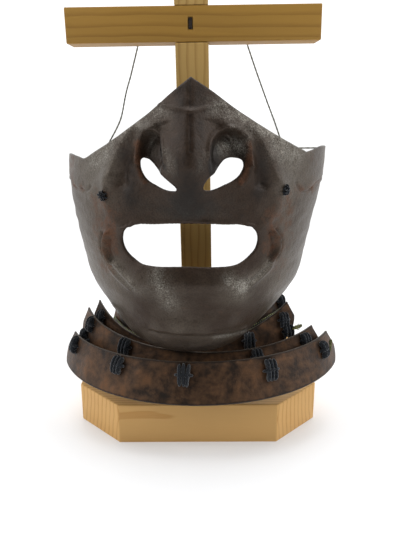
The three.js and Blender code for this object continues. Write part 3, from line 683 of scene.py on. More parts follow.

# Where the iron is made lighter, rusty or darker. The lighter marks are rubbed wear, apart from the painted
# highlights inside the nose hollows and beside the nose; every darker mark is painted shade.
PATINA_AND_PAINTED_LIGHT = [
    dict(start=(-16, 66), bend=(-34, 59), end=(-56, 42), width=7.5, shine=0.6),
    dict(start=(16, 68), bend=(36, 61), end=(60, 45), width=7.5, shine=0.7),
    dict(start=(-46, 40), bend=(-56, 34), end=(-60, 22), width=7, shine=0.35),
    dict(start=(46, 42), bend=(58, 38), end=(56, 24), width=7, shine=0.4),
    dict(start=(-18, -20), bend=(-16, -28), end=(-12, -36), width=7.5, shine=0.7),
    dict(start=(22, -23), bend=(27, -27), end=(28, -32), width=6, shine=0.75),
    dict(start=(-44, -19), bend=(-38, -26), end=(-30, -30), width=4, shine=0.6),
    dict(start=(44, -18), bend=(39, -24), end=(31, -27), width=4, shine=0.6),
    dict(start=(14, -60.5), bend=(24, -61.4), end=(32, -62.5), width=2, shine=0.7),
    dict(start=(-20, 16), bend=(0, 14), end=(20, 16), width=9, shine=0.15),
    # Painted highlights inside the nose hollows and on the sides of the nose, with a painted shadow in the
    # right hollow beside the nose.
    dict(start=(18, 48), bend=(24, 50), end=(27, 47), width=5, shine=0.9),
    dict(start=(13, 46), bend=(12, 40), end=(13, 34), width=2.5, dark=0.6),
    dict(start=(-12, 46), bend=(-9, 43), end=(-9, 37), width=3.5, shine=0.5),
    dict(start=(8, 46), bend=(7, 42), end=(6, 38), width=3, shine=0.35),
    dict(start=(-21, 46), bend=(-20, 50), end=(-19, 53), width=3.5, shine=0.4),
    dict(start=(-53, 18), bend=(-55, -4), end=(-50, -22), width=9, rust=0.55),
    dict(start=(54, 18), bend=(56, -2), end=(50, -22), width=9, rust=0.5),
    dict(start=(-27.6, 50), bend=(-28.6, 40), end=(-24, 30), width=2.6, rust=0.8),
    dict(start=(31, 49), bend=(33.5, 40), end=(27, 30), width=2.8, rust=0.8),
    dict(start=(-66, 24), bend=(-62, 20), end=(-74, 22), width=3.5, rust=0.4),
    dict(start=(62, 24), bend=(66, 17), end=(80, 25), width=3.5, rust=0.4),
    dict(start=(70, 42), bend=(76, 34), end=(72, 26), width=8, rust=0.3),
    dict(start=(-74, 40), bend=(-78, 32), end=(-74, 24), width=4, rust=0.6),
    dict(start=(-44, 12), bend=(-46, 2), end=(-43, -8), width=5, rust=0.5),
    dict(start=(44, 12), bend=(45, 2), end=(43, -8), width=5, rust=0.5),
    dict(start=(-8, -34), bend=(14, -46), end=(38, -44), width=8, rust=0.25),
    # Painted shade: the outer slopes of the nose hollows, down the front of the nose, under the nose, under
    # the mouth and along the bottom of the chin.
    dict(start=(-34, 44), bend=(-30, 34), end=(-34, 22), width=6, dark=0.7),
    dict(start=(36, 46), bend=(40, 36), end=(38, 24), width=6, dark=0.7),
    dict(start=(0, 82), bend=(2, 60), end=(0, 20), width=11, dark=0.75),
    dict(start=(-28, 14), bend=(0, 20), end=(28, 14), width=9, dark=0.45),
    dict(start=(-10, -20), bend=(2, -26), end=(12, -22), width=9, dark=0.35),
    dict(start=(-34, -66), bend=(0, -68), end=(34, -66), width=6, dark=0.5),
]

middle_at = read_table(SECTIONS, "z", "middle")
half_at = read_table(SECTIONS, "z", "half")
depth_at = read_table(SECTIONS, "z", "depth")
nose_at = read_table(NOSE, "z", "out")
upper_left = read_table(UPPER_EDGE, "angle", "left")
upper_right = read_table(UPPER_EDGE, "angle", "right")
lower_at = read_table(LOWER_EDGE, "angle", "z")


def stroke_height(stroke, x, z):
    """A ridge or groove: a bell curve of the distance to the stroke, with its own width each side."""
    away, side = to_stroke(stroke["start"], stroke["bend"], stroke["end"], x, z)
    width = np.where(side > 0, stroke["out"], stroke["in_"])
    return stroke["rise"] * np.exp(-((away / width) ** 2))


def broad_relief(x, z):
    """Nose, hollows and the broad strokes: height over the plain section in mm."""
    height = nose_at(z) * np.exp(-((x / NOSE_WIDTH) ** 2))
    for stroke in BROAD:
        height = height + stroke_height(stroke, x, z)
    for bowl in HOLLOWS:
        over, up = (x - bowl["x"]) / bowl["wide"], (z - bowl["z"]) / bowl["high"]
        r = np.hypot(over, up)
        toward = (over * bowl["steep"][0] + up * bowl["steep"][1]) / np.maximum(r, 0.05)
        start = 0.42 + 0.30 * smoothstep(-0.4, 0.9, toward)
        height = height - bowl["deep"] * (0.85 + 0.45 * np.clip(up, -1, 1)) * (1 - smoothstep(start, 1.04, r))
    return height


def fine_relief(x, z):
    return sum(stroke_height(stroke, x, z) for stroke in FINE)


def ear_relief(angle, z):
    """The ears stand 0.7 mm proud above their lobed lower edge and fade towards the cheek."""
    share = smoothstep(46, 58, np.abs(angle))
    edge = np.where(angle < 0, 22.8, 22.4) - 1.6 * np.sin(np.abs(angle) * 0.16)
    return 0.7 * share * smoothstep(edge - 0.5, edge + 0.9, z)


def plain_point(angle, z, out):
    """A half ellipse round the head at height z, pushed out square to the section by `out`."""
    turn = np.radians(angle)
    half, depth = half_at(z), depth_at(z)
    side, front = half * np.sin(turn), -depth * np.cos(turn)
    nx, ny = np.sin(turn) / half, -np.cos(turn) / depth
    size = np.hypot(nx, ny)
    return np.stack([side + middle_at(z) + out * nx / size, front + out * ny / size, z], -1)


def face_point(angle, z, front):
    x = half_at(z) * np.sin(np.radians(angle)) + middle_at(z)
    out = broad_relief(x, z)
    if front:
        fade = smoothstep(88, 70, np.abs(angle))
        out = out + fine_relief(x, z) * fade + ear_relief(angle, z)
        out = out + 0.16 * waves(x, z, angle, 9, 3) * fade
    return plain_point(angle, z, out)


def grid_normals(points, faces):
    """Unit normals of points: the mean of the normals of the faces round each."""
    a, b, c = (points[faces[:, k]] for k in range(3))
    flat = np.cross(b - a, c - a)
    normals = np.zeros_like(points)
    for k in range(3):
        np.add.at(normals, faces[:, k], flat)
    return normals / np.maximum(np.linalg.norm(normals, axis=1), 1e-12)[:, None]


def boundary_edges(faces):
    """Directed edges that only one of the three-sided faces has."""
    edges = np.concatenate([faces[:, [0, 1]], faces[:, [1, 2]], faces[:, [2, 0]]])
    size = faces.max() + 1
    key, back = edges[:, 0] * size + edges[:, 1], edges[:, 1] * size + edges[:, 0]
    return edges[~np.isin(key, back)]


def to_stand(points):
    """From the mask's own frame to the stand's."""
    turn = np.radians(MASK_YAW)
    c, s = np.cos(turn), np.sin(turn)
    x, y, z = points.T
    return np.stack([c * x - s * y, s * x + c * y, z], -1) + np.array(MASK_AT)


def mirrored_mouth():
    lower = [(-x - 0.8, z) for x, z in MOUTH[1:-1]][::-1]
    return MOUTH + lower


def make_face_plate():
    """The face: a fine grid of the embossed surface, its points slid onto the outlines of the
    mouth and nose holes, the faces inside them left out, and a wall of IRON behind it."""
    columns, rows = 251, 185
    u = np.linspace(-1, 1, columns)[:, None]
    v = np.linspace(0, 1, rows)[None, :]
    angle = REAR_ANGLE * (0.62 * u + 0.38 * u**3) + 0 * v
    share = v + 0.07 * (np.sin(2 * np.pi * (v - 0.22)) - np.sin(2 * np.pi * -0.22))
    high = np.where(angle < 0, upper_left(-angle), upper_right(angle))
    low = lower_at(np.abs(angle))
    z = low + (high - low) * share
    angle, z = angle.ravel(), z.ravel()
    loops = [loop_through(p, 120) for p in (mirrored_mouth(), NOSE_HOLE_RIGHT, NOSE_HOLE_LEFT)]

    def distance(a, h):
        spot = face_point(a, h, True)
        return np.min([inside_distance(loop, spot[:, 0], spot[:, 2]) for loop in loops], axis=0)

    near = np.zeros(len(angle), bool)
    flat = plain_point(angle, z, 0)
    near |= (np.abs(flat[:, 0]) < 48) & (flat[:, 2] > -24) & (flat[:, 2] < 52)
    away = np.full(len(angle), 9.0)
    away[near] = distance(angle[near], z[near])

    # of the two ends of each grid edge that crosses an outline, the nearer one is slid onto it
    index = np.arange(columns * rows).reshape(columns, rows)
    pairs = np.concatenate(
        [
            np.stack([index[:-1].ravel(), index[1:].ravel()], 1),
            np.stack([index[:, :-1].ravel(), index[:, 1:].ravel()], 1),
        ]
    )
    crossing = pairs[(away[pairs[:, 0]] < 0) != (away[pairs[:, 1]] < 0)]
    nearer = np.abs(away[crossing[:, 0]]) < np.abs(away[crossing[:, 1]])
    slid = np.unique(np.where(nearer, crossing[:, 0], crossing[:, 1]))
    for _ in range(4):
        a, h = angle[slid], z[slid]
        here = distance(a, h)
        step_a = (distance(a + 0.1, h) - here) / 0.1
        step_h = (distance(a, h + 0.1) - here) / 0.1
        # one degree of angle is about 1.4 mm
        slope = (step_a / 1.4) ** 2 + step_h**2 + 1e-6
        angle[slid] -= np.clip(here * step_a / 1.4**2 / slope, -0.9, 0.9)
        z[slid] -= np.clip(here * step_h / slope, -1.2, 1.2)
    away[slid] = 0

    quads = grid_faces(columns, rows)
    on = away == 0
    turned = on[quads[:, 1]] & on[quads[:, 3]]
    first = np.where(turned[:, None], quads[:, [0, 1, 3]], quads[:, [0, 1, 2]])
    second = np.where(turned[:, None], quads[:, [1, 2, 3]], quads[:, [0, 2, 3]])
    faces = np.concatenate([first, second])
    keep = (away[faces] >= 0).all(1)
    inner_three = on[faces].all(1)
    middle_away = np.full(len(faces), 1.0)
    spots = np.flatnonzero(keep & inner_three)
    middle_away[spots] = distance(angle[faces[spots]].mean(1), z[faces[spots]].mean(1))
    faces = faces[keep & (middle_away > 0)]

    used, faces = np.unique(faces, return_inverse=True)
    faces = faces.reshape(-1, 3)
    angle, z = angle[used], z[used]
    front = face_point(angle, z, True)
    back = face_point(angle, z, False)
    normals = grid_normals(front, faces)
    back_normals = grid_normals(back, faces)
    rim = boundary_edges(faces)
    at_rim = np.zeros(len(front), bool)
    at_rim[rim.ravel()] = True
    outer = front - normals * np.where(at_rim, 0.35, 0)[:, None]
    inner = back - back_normals * np.where(at_rim, IRON - 0.35, IRON)[:, None]
    inner[at_rim] = front[at_rim] - normals[at_rim] * (IRON - 0.35)
    size = len(front)
    walls = np.stack([rim[:, 1], rim[:, 0], rim[:, 0] + size, rim[:, 1] + size], -1)

    x, height = front[:, 0], front[:, 2]
    fade = smoothstep(88, 70, np.abs(angle))
    raised = fine_relief(x, height) * fade
    patina_and_painted_light = {kind: np.zeros(size) for kind in ("shine", "rust", "dark")}
    for patch in PATINA_AND_PAINTED_LIGHT:
        distance_to, _ = to_stroke(patch["start"], patch["bend"], patch["end"], x, height, 12)
        for kind in patina_and_painted_light:
            patina_and_painted_light[kind] += patch.get(kind, 0) * np.exp(-((distance_to / patch["width"]) ** 2))
    # Painted shade: each nose hollow darker towards its middle.
    for bowl in HOLLOWS:
        r = np.hypot((x - bowl["x"]) / bowl["wide"], (height - bowl["z"]) / bowl["high"])
        patina_and_painted_light["dark"] += 0.5 * smoothstep(1.0, 0.6, r)
    cheek = smoothstep(30, 56, np.abs(x)) * 0.8 + smoothstep(-8, -30, height) * 0.45
    numbers = {kind: np.tile(np.clip(values, 0, 1), 2) for kind, values in patina_and_painted_light.items()}
    numbers["raised"] = np.concatenate([raised, raised * 0])
    numbers["cheek"] = np.tile(np.clip(cheek, 0, 1), 2)
    numbers["inside"] = np.repeat([0.0, 1.0], size)
    points = to_stand(np.concatenate([outer, inner]))
    shapes = faces.tolist() + (faces[:, ::-1] + size).tolist() + walls.tolist()
    piece = add_mesh("face", points, shapes, numbers)
    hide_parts("face_plate")
    return piece


# ---------------------------------------------------------------- throat lames

LAME_IRON = 1.5
LAMES = [
    dict(
        node="lame_1", middle=2, half=64.8, front=56, centre=5, z=64, rise=22.7, roll=0.14,
        left=66, right=57.5, drop=16, flare=3, flare_front=3, slant=2,
    ),
    dict(
        node="lame_2", middle=3.5, half=77, front=62, centre=-10, z=59.5, rise=54, roll=0.15,
        left=64, right=44.3, drop=20, flare=4, flare_front=8, slant=3.5,
    ),
    dict(
        node="lame_3", middle=6.6, half=84.6, front=76, centre=-10, z=60.8, rise=18.7, roll=0,
        left=71.5, right=52, drop=20, flare=5, flare_front=8, slant=4.5,
    ),
    dict(
        node="lame_4", middle=2.4, half=90.5, front=89, centre=-10, z=60.5, rise=-0.7, roll=0.01,
        left=69, right=65.5, drop=22.6, flare=6, flare_front=11, slant=8.5,
    ),
]


def lame_point(lame, angle, down):
    """A half ellipse round the neck that widens and drops towards its lower edge."""
    turn = np.radians(angle)
    side = (lame["half"] + lame["flare"] * down) * np.sin(turn)
    reach = lame["front"] + lame["centre"] + lame["flare_front"] * down
    z = lame["z"] + lame["rise"] * (1 - np.cos(turn)) + lame["roll"] * side - lame["drop"] * down
    return np.stack([lame["middle"] + side, lame["centre"] - reach * np.cos(turn), z], -1)


def lame_normal(lame, angle, down):
    across = lame_point(lame, angle + 0.5, down) - lame_point(lame, angle - 0.5, down)
    up = lame_point(lame, angle, down - 0.02) - lame_point(lame, angle, down + 0.02)
    normal = np.cross(across, up)
    return normal / np.linalg.norm(normal, axis=-1, keepdims=True)


def lame_end(tip, slant, down):
    """The end slants out from its pointed upper tip and turns in round the lower corner."""
    corner = np.clip((down - 0.6) / 0.4, 0, 1)
    return tip + slant * np.clip(down / 0.6, 0, 1) - 8 * (1 - np.sqrt(1 - corner**2))


def make_lame(lame, number):
    """A curved plate with a slightly turned-out upper lip, soft edges and hammered unevenness."""
    columns, rows = 220, 30
    u = np.linspace(0, 1, columns)[:, None]
    v = np.linspace(0, 1, rows)[None, :]
    u = u - 0.045 * np.sin(2 * np.pi * u)
    down = np.sin(np.pi * (v - 0.5)) * 0.5 + 0.5
    down = 0.6 * v + 0.4 * down + 0 * u
    left, right = -lame_end(lame["left"], lame["slant"], down), lame_end(lame["right"], lame["slant"], down)
    angle = left + (right - left) * u
    base = lame_point(lame, angle, down)
    normal = lame_normal(lame, angle, down)
    mean_half = (lame["half"] + lame["front"]) / 2
    to_end = np.minimum(angle - left, right - angle) * np.pi / 180 * mean_half
    edge = np.minimum(np.minimum(down, 1 - down) * lame["drop"] * 1.06, to_end)
    lip = 0.35 * np.exp(-((down * lame["drop"] / 1.3) ** 2))
    uneven = 0.22 * waves(base[..., 0], base[..., 1], base[..., 2], 16, 20 + number)
    soften = 0.32 * (1 - smoothstep(0.0, 0.55, edge))
    outer = base + normal * (lip + uneven * smoothstep(0, 3, edge) - soften)[..., None]
    inner = base + normal * (uneven * smoothstep(0, 3, edge) + soften - LAME_IRON + lip * 0.6)[..., None]
    size = columns * rows
    faces = grid_faces(columns, rows)
    index = np.arange(size).reshape(columns, rows)
    border = np.concatenate([index[:, 0], index[-1, 1:], index[-2::-1, -1], index[0, -2:0:-1]])
    after = np.roll(border, -1)
    walls = np.stack([after, border, border + size, after + size], -1)
    # rows run downwards, so the grid's own faces look inwards
    shapes = faces[:, ::-1].tolist() + (faces + size).tolist() + walls[:, ::-1].tolist()
    points = np.concatenate([outer.reshape(-1, 3), inner.reshape(-1, 3)])
    numbers = {"edge": np.tile(edge.ravel(), 2), "inside": np.repeat([0.0, 1.0], size)}
    piece = add_mesh("throat_" + lame["node"], points, shapes, numbers)
    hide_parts(lame["node"])
    return piece


def make_edge_lace(lame):
    """Braid laid along the first lame: a flat oval section carried round the lame's outside."""
    columns, around = 260, 12
    angle = np.linspace(-64, 56.5, columns)[:, None]
    turn = np.linspace(0, 2 * np.pi, around, endpoint=False)[None, :]
    centre = 0.38 + 0.16 * smoothstep(38, 56, angle)
    down = centre - 0.128 * np.cos(turn)
    lift = GAP + 0.65 + 0.62 * np.sin(turn) * (1 + 0.12 * np.sin(angle * 3.3))
    spread = angle + 0 * turn
    points = lame_point(lame, spread, down) + lame_normal(lame, spread, down) * lift[..., None]
    points = points.reshape(-1, 3)
    faces = [face[::-1] for face in tube_faces(columns, around)]
    along = np.radians(angle) * lame["half"] + 0 * turn
    across = -np.cos(turn) * 2.05 + 0 * angle
    piece = add_mesh("edge_braid", points, faces, {"along": along, "round": across})
    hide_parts("edge_lace")
    return piece


# ---------------------------------------------------------------- ties, knots and frayed ends

STEM = 1.2
TIE_DEPTH = 3.2
TIES = [
    dict(node="tie_1_right", lame=0, spot=(53.5, 0.16), size=(5, 6.2)),
    dict(node="tie_2_left", lame=1, spot=(-59, 0.32), size=(5, 7), behind=0, rear=(-61, 0.78)),
    dict(node="tie_2_middle", lame=1, spot=(21.5, 0.3), size=(8, 8), behind=0, rear=(27, 0.78)),
    dict(node="tie_2_right", lame=1, spot=(40.5, 0.4), size=(6.5, 7.5), behind=0, rear=(49, 0.8)),
    dict(node="tie_2_end", lame=1, spot=(42, 0.82), size=(8, 5)),
    dict(node="tie_3_left", lame=2, spot=(-62.5, 0.28), size=(5, 8), behind=1, rear=(-59, 0.76)),
    dict(node="tie_3_corner", lame=2, spot=(-67.5, 0.78), size=(6, 5.5)),
    dict(node="tie_3_side", lame=2, spot=(-37, 0.26), size=(8, 8), behind=1, rear=(-38, 0.5)),
    dict(node="tie_3_middle", lame=2, spot=(20, 0.26), size=(7.5, 6.5), behind=1, rear=(23.5, 0.5)),
    dict(node="tie_3_right", lame=2, spot=(45, 0.26), size=(7, 5.5)),
    dict(node="tie_4_left", lame=3, spot=(-62.5, 0.26), size=(5.5, 8.5), behind=2, rear=(-62.5, 0.76)),
    dict(node="tie_4_side", lame=3, spot=(-33, 0.27), size=(7.5, 8.5), behind=2, rear=(-38, 0.6)),
    dict(node="tie_4_middle", lame=3, spot=(-6.5, 0.31), size=(8.6, 10), behind=2, rear=(-9.5, 0.55)),
    dict(node="tie_4_front", lame=3, spot=(26, 0.35), size=(8, 10), behind=2, rear=(25, 0.55)),
    dict(node="tie_4_right", lame=3, spot=(57, 0.36), size=(6.5, 8.5), behind=2, rear=(50, 0.7)),
]
JAW_TIES = [
    dict(node="jaw_tie_left", angle=-40, jaw_angle=-44, jaw_z=-59),
    dict(node="jaw_tie_middle", angle=0, jaw_angle=0, jaw_z=-67),
    dict(node="jaw_tie_right", angle=38, jaw_angle=44, jaw_z=-59),
]
CHEEK_KNOTS = [
    dict(node="cheek_knot_left", x=-48.4, z=21.0),
    dict(node="cheek_knot_right", x=50.6, z=24.4),
]
TUFTS = [
    dict(node="tuft_upper", at=(63.2, -54.6, 68.3), size=(4.4, 1.6, 2.2), turn=40),
    dict(node="tuft_lower", at=(85.6, -52.6, 54.8), size=(2.4, 1.5, 4.2), turn=58),
]


FIBRES = 46  # in each frayed end
FIBRE_POINTS = 9  # along each fibre


def spot_frame(point, normal):
    """Sideways, upwards and outwards directions at a spot on a surface."""
    side = np.cross([0, 0, 1], normal)
    side /= np.linalg.norm(side)
    return point, side, np.cross(normal, side), normal


def arch(spot, offset, length, height, width, turn, thick, steps=15, sides=10):
    """A strand that rises from the surface, runs flat over it and dives back in.

    Its line is a half superellipse `length` long and `height` high through a turned direction,
    `offset` sideways; its section is an oval `width` by `thick`.
    """
    point, side, up, out = spot
    c, s = np.cos(np.radians(turn)), np.sin(np.radians(turn))
    run, cross = side * s + up * c, side * c - up * s
    t = np.linspace(0, np.pi, steps)
    flat = np.sign(np.cos(t)) * np.abs(np.cos(t)) ** 0.62 * length / 2
    lift = np.sin(t) ** 0.5 * height
    path = point + cross * offset + flat[:, None] * run + lift[:, None] * out
    swell = width / 2 * (0.86 + 0.14 * np.sin(t))
    return tube(path, swell, sides, flat=thick / width, up=cross, lobes=2, depth=0.03)


def knot_strands(spot, wide, high, thick, seed):
    """A tied knot: three strands down (two on a narrow knot) and one across them, each a little different."""
    random = np.random.default_rng(seed)
    strands = []
    count = 3 if wide > 5.5 else 2
    width = wide / count * 1.12
    for k in range(count):
        offset = (k - (count - 1) / 2) * wide / count * 0.86
        length = high * random.uniform(0.92, 1.02) * (1.0 if 0 < k < count - 1 else 0.93)
        rise = thick - 1.3 + random.uniform(-0.12, 0.12)
        strands.append(arch(spot, offset, length, rise, width * 1.5, random.uniform(-5, 5), 2.5))
    strands.append(arch(spot, 0.0, wide * 0.8, thick - 1.5, high * 0.5, 90, 2.4))
    return strands


def strand_numbers(parts):
    """`along` and `round` in mm for the points of joined tubes, from their rings' order."""
    along, around = [], []
    for points, faces in parts:
        sides = len(faces[-1])
        rings = points.reshape(-1, sides, 3)
        middle = rings.mean(1)
        run = np.concatenate([[0], np.cumsum(np.linalg.norm(np.diff(middle, axis=0), axis=1))])
        width = np.linalg.norm(rings - middle[:, None], axis=-1).mean() * 2 * np.pi
        turn = np.abs(np.linspace(-0.5, 0.5, sides))[None, :] * width
        along.append((run[:, None] + 0 * turn).ravel())
        around.append((turn + 0 * run[:, None]).ravel())
    return {"along": np.concatenate(along), "round": np.concatenate(around)}


def add_strands(name, node, parts):
    points, faces = join(parts)
    piece = add_mesh(name, points, faces, strand_numbers(parts))
    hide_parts(node)
    return piece


def on_lame(number, angle, down, inside=False):
    lame = LAMES[number]
    point, normal = lame_point(lame, angle, down), lame_normal(lame, angle, down)
    if inside:
        return spot_frame(point - normal * LAME_IRON, -normal)
    return spot_frame(point, normal)


def on_face(angle, z, inside=False):
    """A spot on the face plate in the stand's frame."""
    around = np.array([[angle, z], [angle + 0.5, z], [angle, z + 0.5]], float)
    points = to_stand(face_point(around[:, 0], around[:, 1], False))
    normal = np.cross(points[1] - points[0], points[2] - points[0])
    normal /= np.linalg.norm(normal)
    if inside:
        return spot_frame(points[0] - normal * IRON, -normal)
    return spot_frame(points[0], normal)


def stem_between(front, rear, reach_front, reach_rear):
    start, end = front[0] + front[3] * reach_front, rear[0] + rear[3] * reach_rear
    share = np.linspace(0, 1, 9)[:, None]
    return tube(start + (end - start) * share, STEM, 10, up=front[1])


def rear_knot(spot, seed):
    return knot_strands(spot, 4.6, 4.6, 2.3, seed)


def make_ties():
    made = []
    for seed, tie in enumerate(TIES):
        front = on_lame(tie["lame"], *tie["spot"])
        rear = on_lame(tie.get("behind", tie["lame"]), *tie.get("rear", tie["spot"]), inside=True)
        parts = knot_strands(front, *tie["size"], TIE_DEPTH + GAP, seed)
        parts += [stem_between(front, rear, 1.6, 1.0)] + rear_knot(rear, 50 + seed)
        made.append(add_strands("silk_" + tie["node"], tie["node"], parts))
    for seed, tie in enumerate(JAW_TIES):
        jaw = on_face(tie["jaw_angle"], tie["jaw_z"], inside=True)
        rear = on_lame(0, tie["angle"], 0.16, inside=True)
        parts = rear_knot(jaw, 70 + seed) + [stem_between(jaw, rear, 1.2, 1.0)] + rear_knot(rear, 80 + seed)
        made.append(add_strands("silk_" + tie["node"], tie["node"], parts))
    return made


def make_cheek_knots():
    """A cord crossed like a star over its hole, with the plain stem and rear knot behind."""
    made = []
    for seed, knot in enumerate(CHEEK_KNOTS):
        angle = np.degrees(np.arcsin((knot["x"] - middle_at(knot["z"])) / half_at(knot["z"])))
        front, rear = on_face(angle, knot["z"]), on_face(angle, knot["z"], inside=True)
        parts = [
            arch(front, 0.15 * k - 0.2, 5.2 - 0.5 * (k % 2), 1.5 + 0.25 * k, 1.5, 12 + 48 * k, 1.0)
            for k in range(4)
        ]
        parts += [stem_between(front, rear, 0.8, 1.0)] + rear_knot(rear, 90 + seed)
        made.append(add_strands("silk_" + knot["node"], knot["node"], parts))
    return made


def make_tufts():
    """Frayed ends: fibres that leave one end of the tuft and curl apart inside its oval."""
    made = []
    for seed, tuft in enumerate(TUFTS):
        random = np.random.default_rng(200 + seed)
        size = np.array(tuft["size"])
        turn = np.radians(tuft["turn"])
        spin = np.array([[np.cos(turn), -np.sin(turn), 0], [np.sin(turn), np.cos(turn), 0], [0, 0, 1]])
        long_way = np.argmax(size)
        parts = []
        for _ in range(FIBRES):
            t = np.linspace(-0.95, 0.95, FIBRE_POINTS)
            path = random.normal(size=3) * 0.16 + np.zeros((FIBRE_POINTS, 3))
            path[:, long_way] += t * random.uniform(0.7, 1.0)
            spread = random.normal(size=3) * 0.34
            spread[long_way] = 0
            curl = 0.08 * np.sin(t[:, None] * 5 + random.uniform(0, 6))
            path += spread * ((t[:, None] + 1) / 2) ** 1.5 + curl
            path /= np.maximum(np.linalg.norm(path, axis=1, keepdims=True), 1)
            path = (path * size) @ spin.T + np.array(tuft["at"])
            parts.append(tube(path, np.linspace(0.24, 0.12, FIBRE_POINTS), 5, up=(0.3, 0.2, 1)))
        made.append(add_strands("frayed_" + tuft["node"], tuft["node"], parts))
    return made


# ---------------------------------------------------------------- hanging strings

STRING = 1.1
STRINGS = {
    "hanging_string_left": [
        (-38.8, 13.0, 246.5),
        (-39.3, 12.2, 242.6),
        (-40.9, 11.7, 236.5),
        (-42.9, 11.3, 229.5),
        (-44.9, 11.1, 222.5),
        (-46.9, 10.8, 216.5),
        (-48.4, 10.6, 211.5),
        (-49.6, 10.4, 206.5),
        (-50.8, 10.1, 201.0),
        (-52.6, 9.9, 194.8),
        (-55.4, 9.7, 189.0),
        (-58.6, 9.5, 183.5),
        (-61.8, 9.4, 178.4),
        (-66.0, 9.2, 173.6),
        (-72.5, 9.0, 169.8),
        (-79.5, 9.0, 167.9),
        (-84.2, 8.4, 166.9),
        (-85.8, 5.8, 165.8),
    ],
    "hanging_string_right": [
        (32.6, 13.0, 247.4),
        (33.2, 12.2, 242.6),
        (35.4, 11.8, 236.5),
        (38.2, 11.4, 229.0),
        (41.2, 11.1, 221.3),
        (44.2, 10.8, 213.8),
        (47.2, 10.5, 206.3),
        (50.0, 10.2, 199.6),
        (52.4, 9.9, 193.8),
        (54.9, 9.5, 187.3),
        (57.6, 9.0, 180.9),
        (61.4, 8.0, 177.2),
        (66.4, 7.0, 175.9),
        (76.4, 6.0, 175.9),
        (82.8, 4.6, 175.8),
        (86.0, 2.6, 173.6),
        (85.8, 0.6, 168.4),
    ],
}


def smooth_route(points, each=14):
    """Points along a smooth curve through a route, `each` to a stretch."""
    knots = np.array(points, float)
    knots = np.concatenate([[2 * knots[0] - knots[1]], knots, [2 * knots[-1] - knots[-2]]])
    p0, p1, p2, p3 = (knots[k : len(knots) - 3 + k, None] for k in range(4))
    s = (np.arange(each) / each)[None, :, None]
    curve = 0.5 * (
        2 * p1 + (p2 - p0) * s + (2 * p0 - 5 * p1 + 4 * p2 - p3) * s**2 + (3 * p1 - p0 - 3 * p2 + p3) * s**3
    )
    return np.concatenate([curve.reshape(-1, 3), knots[-2:-1]])


def make_strings():
    """Two-ply strings: an oval section that turns as it goes, carried along the route."""
    made = []
    for name, route in STRINGS.items():
        path = smooth_route(route)
        length = np.linalg.norm(np.diff(path, axis=0), axis=1).sum()
        points, faces = tube(
            path, STRING / 2 * 0.94, 12, up=(0, 1, 0), twist=length, lobes=2, depth=0.09
        )
        piece = add_mesh("string_" + name.split("_")[-1], points, faces)
        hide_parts(name)
        made.append(piece)
    return made


# ---------------------------------------------------------------- the stand


def soften(node, name, width, slot):
    """The CAD piece with its faces joined up and its corners rounded by `width` mm."""
    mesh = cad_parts[node].data.copy()
    mesh.name = name
    piece = bpy.data.objects.new(name, mesh)
    bpy.context.scene.collection.objects.link(piece)
    weld = piece.modifiers.new("weld", "WELD")
    weld.merge_threshold = 0.00002
    flat = piece.modifiers.new("flat", "DECIMATE")
    flat.decimate_type = "DISSOLVE"
    flat.angle_limit = np.radians(1.0)
    bevel = piece.modifiers.new("bevel", "BEVEL")
    bevel.width = width * MM
    bevel.segments = 3
    bevel.limit_method = "ANGLE"
    bevel.angle_limit = np.radians(25)
    bevel.harden_normals = True
    mesh.polygons.foreach_set("use_smooth", np.ones(len(mesh.polygons), bool))
    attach(piece, "root")
    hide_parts(node)
    return piece


def make_tack(side):
    """A round-headed tack: a dome turned about the tack's own axis, square to the bar's back."""
    low, high = (np.array(corner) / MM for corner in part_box("string_tack_" + side))
    middle = (low + high) / 2
    radius, thick = 2.3, 1.4
    columns, rows = 20, 8
    turn = np.linspace(0, 2 * np.pi, columns, endpoint=False)[:, None]
    t = np.linspace(0.02, np.pi / 2, rows)[None, :]
    r, rise = radius * np.sin(t), thick * np.cos(t) ** 0.9
    points = np.stack([r * np.cos(turn), low[1] + rise + 0 * turn - middle[1], r * np.sin(turn)], -1)
    points = points.reshape(-1, 3) + middle
    faces = grid_faces(columns, rows, wrap=True).tolist()
    faces.append([i * rows for i in range(columns)][::-1])
    faces.append([i * rows + rows - 1 for i in range(columns)])
    piece = add_mesh("tack_" + side, points, faces)
    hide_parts("string_tack_" + side)
    return piece


# ---------------------------------------------------------------- put it together

make_camera()

silk = silk_finish("blue-black silk", SILK_BLACK, SILK_BLUE)
for piece in make_strings():
    clothe(piece, string_finish())

clothe(make_face_plate(), face_finish())

iron = lame_finish()
for number, lame in enumerate(LAMES):
    clothe(make_lame(lame, number), iron)
clothe(make_edge_lace(LAMES[0]), check_lace_finish())
for piece in make_ties() + make_cheek_knots():
    clothe(piece, silk)
green = silk_finish("yellow-green silk", (0.10, 0.10, 0.028), SILK_GREEN)
for piece in make_tufts():
    clothe(piece, green)

steel = steel_finish()
for side in ("left", "right"):
    clothe(make_tack(side), steel)
clothe(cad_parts["bar_nail"], steel)

# Each timber: early wood, late wood, the turn that stands its grain up (degrees), the log's middle
# (mm), the rings' spacing (mm) and how far its corners are rounded (mm).
TIMBERS = {
    "base": ((0.68, 0.405, 0.145), (0.52, 0.260, 0.070), (0, -90, 0), (-26, 96), 2.9, 0.9),
    "post": ((0.49, 0.315, 0.105), (0.34, 0.190, 0.055), (0, 0, 0), (34, 26), 3.4, 0.7),
    # The crossbar's colours are darker than the post's: partly its own tone, partly painted shade for the
    # shadow of a helmet above it, which is not modelled.
    "crossbar": ((0.36, 0.200, 0.040), (0.26, 0.135, 0.025), (0, -90, 0), (-300, 46), 4.2, 0.7),
}
for node, (early, late, grain_turn, pith, spacing, corner) in TIMBERS.items():
    pine = pine_finish("pine " + node, early, late, grain_turn, pith, spacing)
    clothe(soften("stand_" + node, node, corner, "pine"), pine)


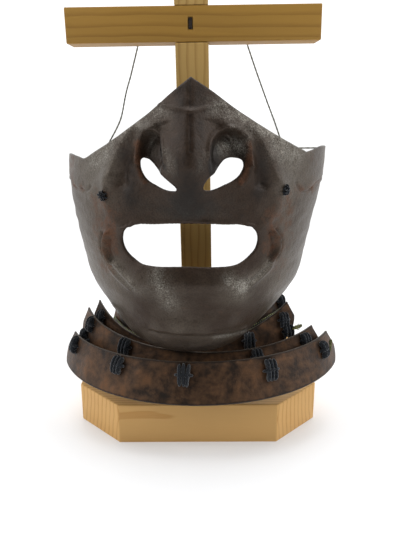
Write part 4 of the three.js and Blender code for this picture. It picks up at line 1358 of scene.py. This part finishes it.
def make_stage():
    """A wide pale floor under the stand. It glows as painted light: faintly near the stand, which lifts
    the stand's shadow, and fully white far out, where it meets the surroundings.
    """
    mesh = bpy.data.meshes.new("floor")
    reach = 30.0  # metres each way
    corners = [(x * reach, y * reach, 0) for x, y in ((-1, -1), (1, -1), (1, 1), (-1, 1))]
    mesh.from_pydata(corners, [], [(0, 1, 2, 3)])
    floor = bpy.data.objects.new("floor", mesh)
    bpy.context.scene.collection.objects.link(floor)
    f = Finish("pale floor")
    x, y, _ = f.axes()
    # Painted light: the glow is 0.28 near the stand and rises to 1 far out, while the floor's own colour
    # fades to black.
    far = ((x * x + y * y) ** 0.5 + y * 0.3).between(150, 900) * 0.72 + 0.28
    clothe(
        floor,
        f.shade(
            Base_Color=f.mix((0.925, 0.93, 0.94), (0, 0, 0), far),
            Roughness=0.8,
            Specular_IOR_Level=0.2,
            Emission_Color=f.mix((0, 0, 0), (1, 1, 1), far),
            Emission_Strength=1.0,
        ),
    )


def make_world():
    """White surroundings whose strength rises along +Y: dim before the face, bright behind it."""
    world = bpy.data.worlds.new("surroundings")
    bpy.context.scene.world = world
    world.use_nodes = True
    tree = world.node_tree
    tree.nodes.clear()
    place = tree.nodes.new("ShaderNodeTexCoord")
    parts = tree.nodes.new("ShaderNodeSeparateXYZ")
    tree.links.new(place.outputs["Generated"], parts.inputs[0])
    front = tree.nodes.new("ShaderNodeMapRange")
    front.interpolation_type = "SMOOTHSTEP"
    for label, value in (("From Min", -0.62), ("From Max", 0.25), ("To Min", 0.07), ("To Max", 1.25)):
        front.inputs[label].default_value = value
    tree.links.new(parts.outputs[1], front.inputs["Value"])
    background = tree.nodes.new("ShaderNodeBackground")
    background.inputs["Color"].default_value = (0.985, 0.99, 1.0, 1)
    tree.links.new(front.outputs[0], background.inputs["Strength"])
    output = tree.nodes.new("ShaderNodeOutputWorld")
    tree.links.new(background.outputs[0], output.inputs["Surface"])


make_stage()
make_world()
bpy.context.scene.view_settings.view_transform = "Standard"
TARGET = (0, -0.05, 0.14)
add_area_light("light_above", (0.0, 0.1, 1.2), TARGET, 0.9, 6)
add_area_light("light_left", (-1.0, -0.35, 0.75), TARGET, 0.6, 5)
add_area_light("light_right", (1.0, -0.35, 0.75), TARGET, 0.6, 5)
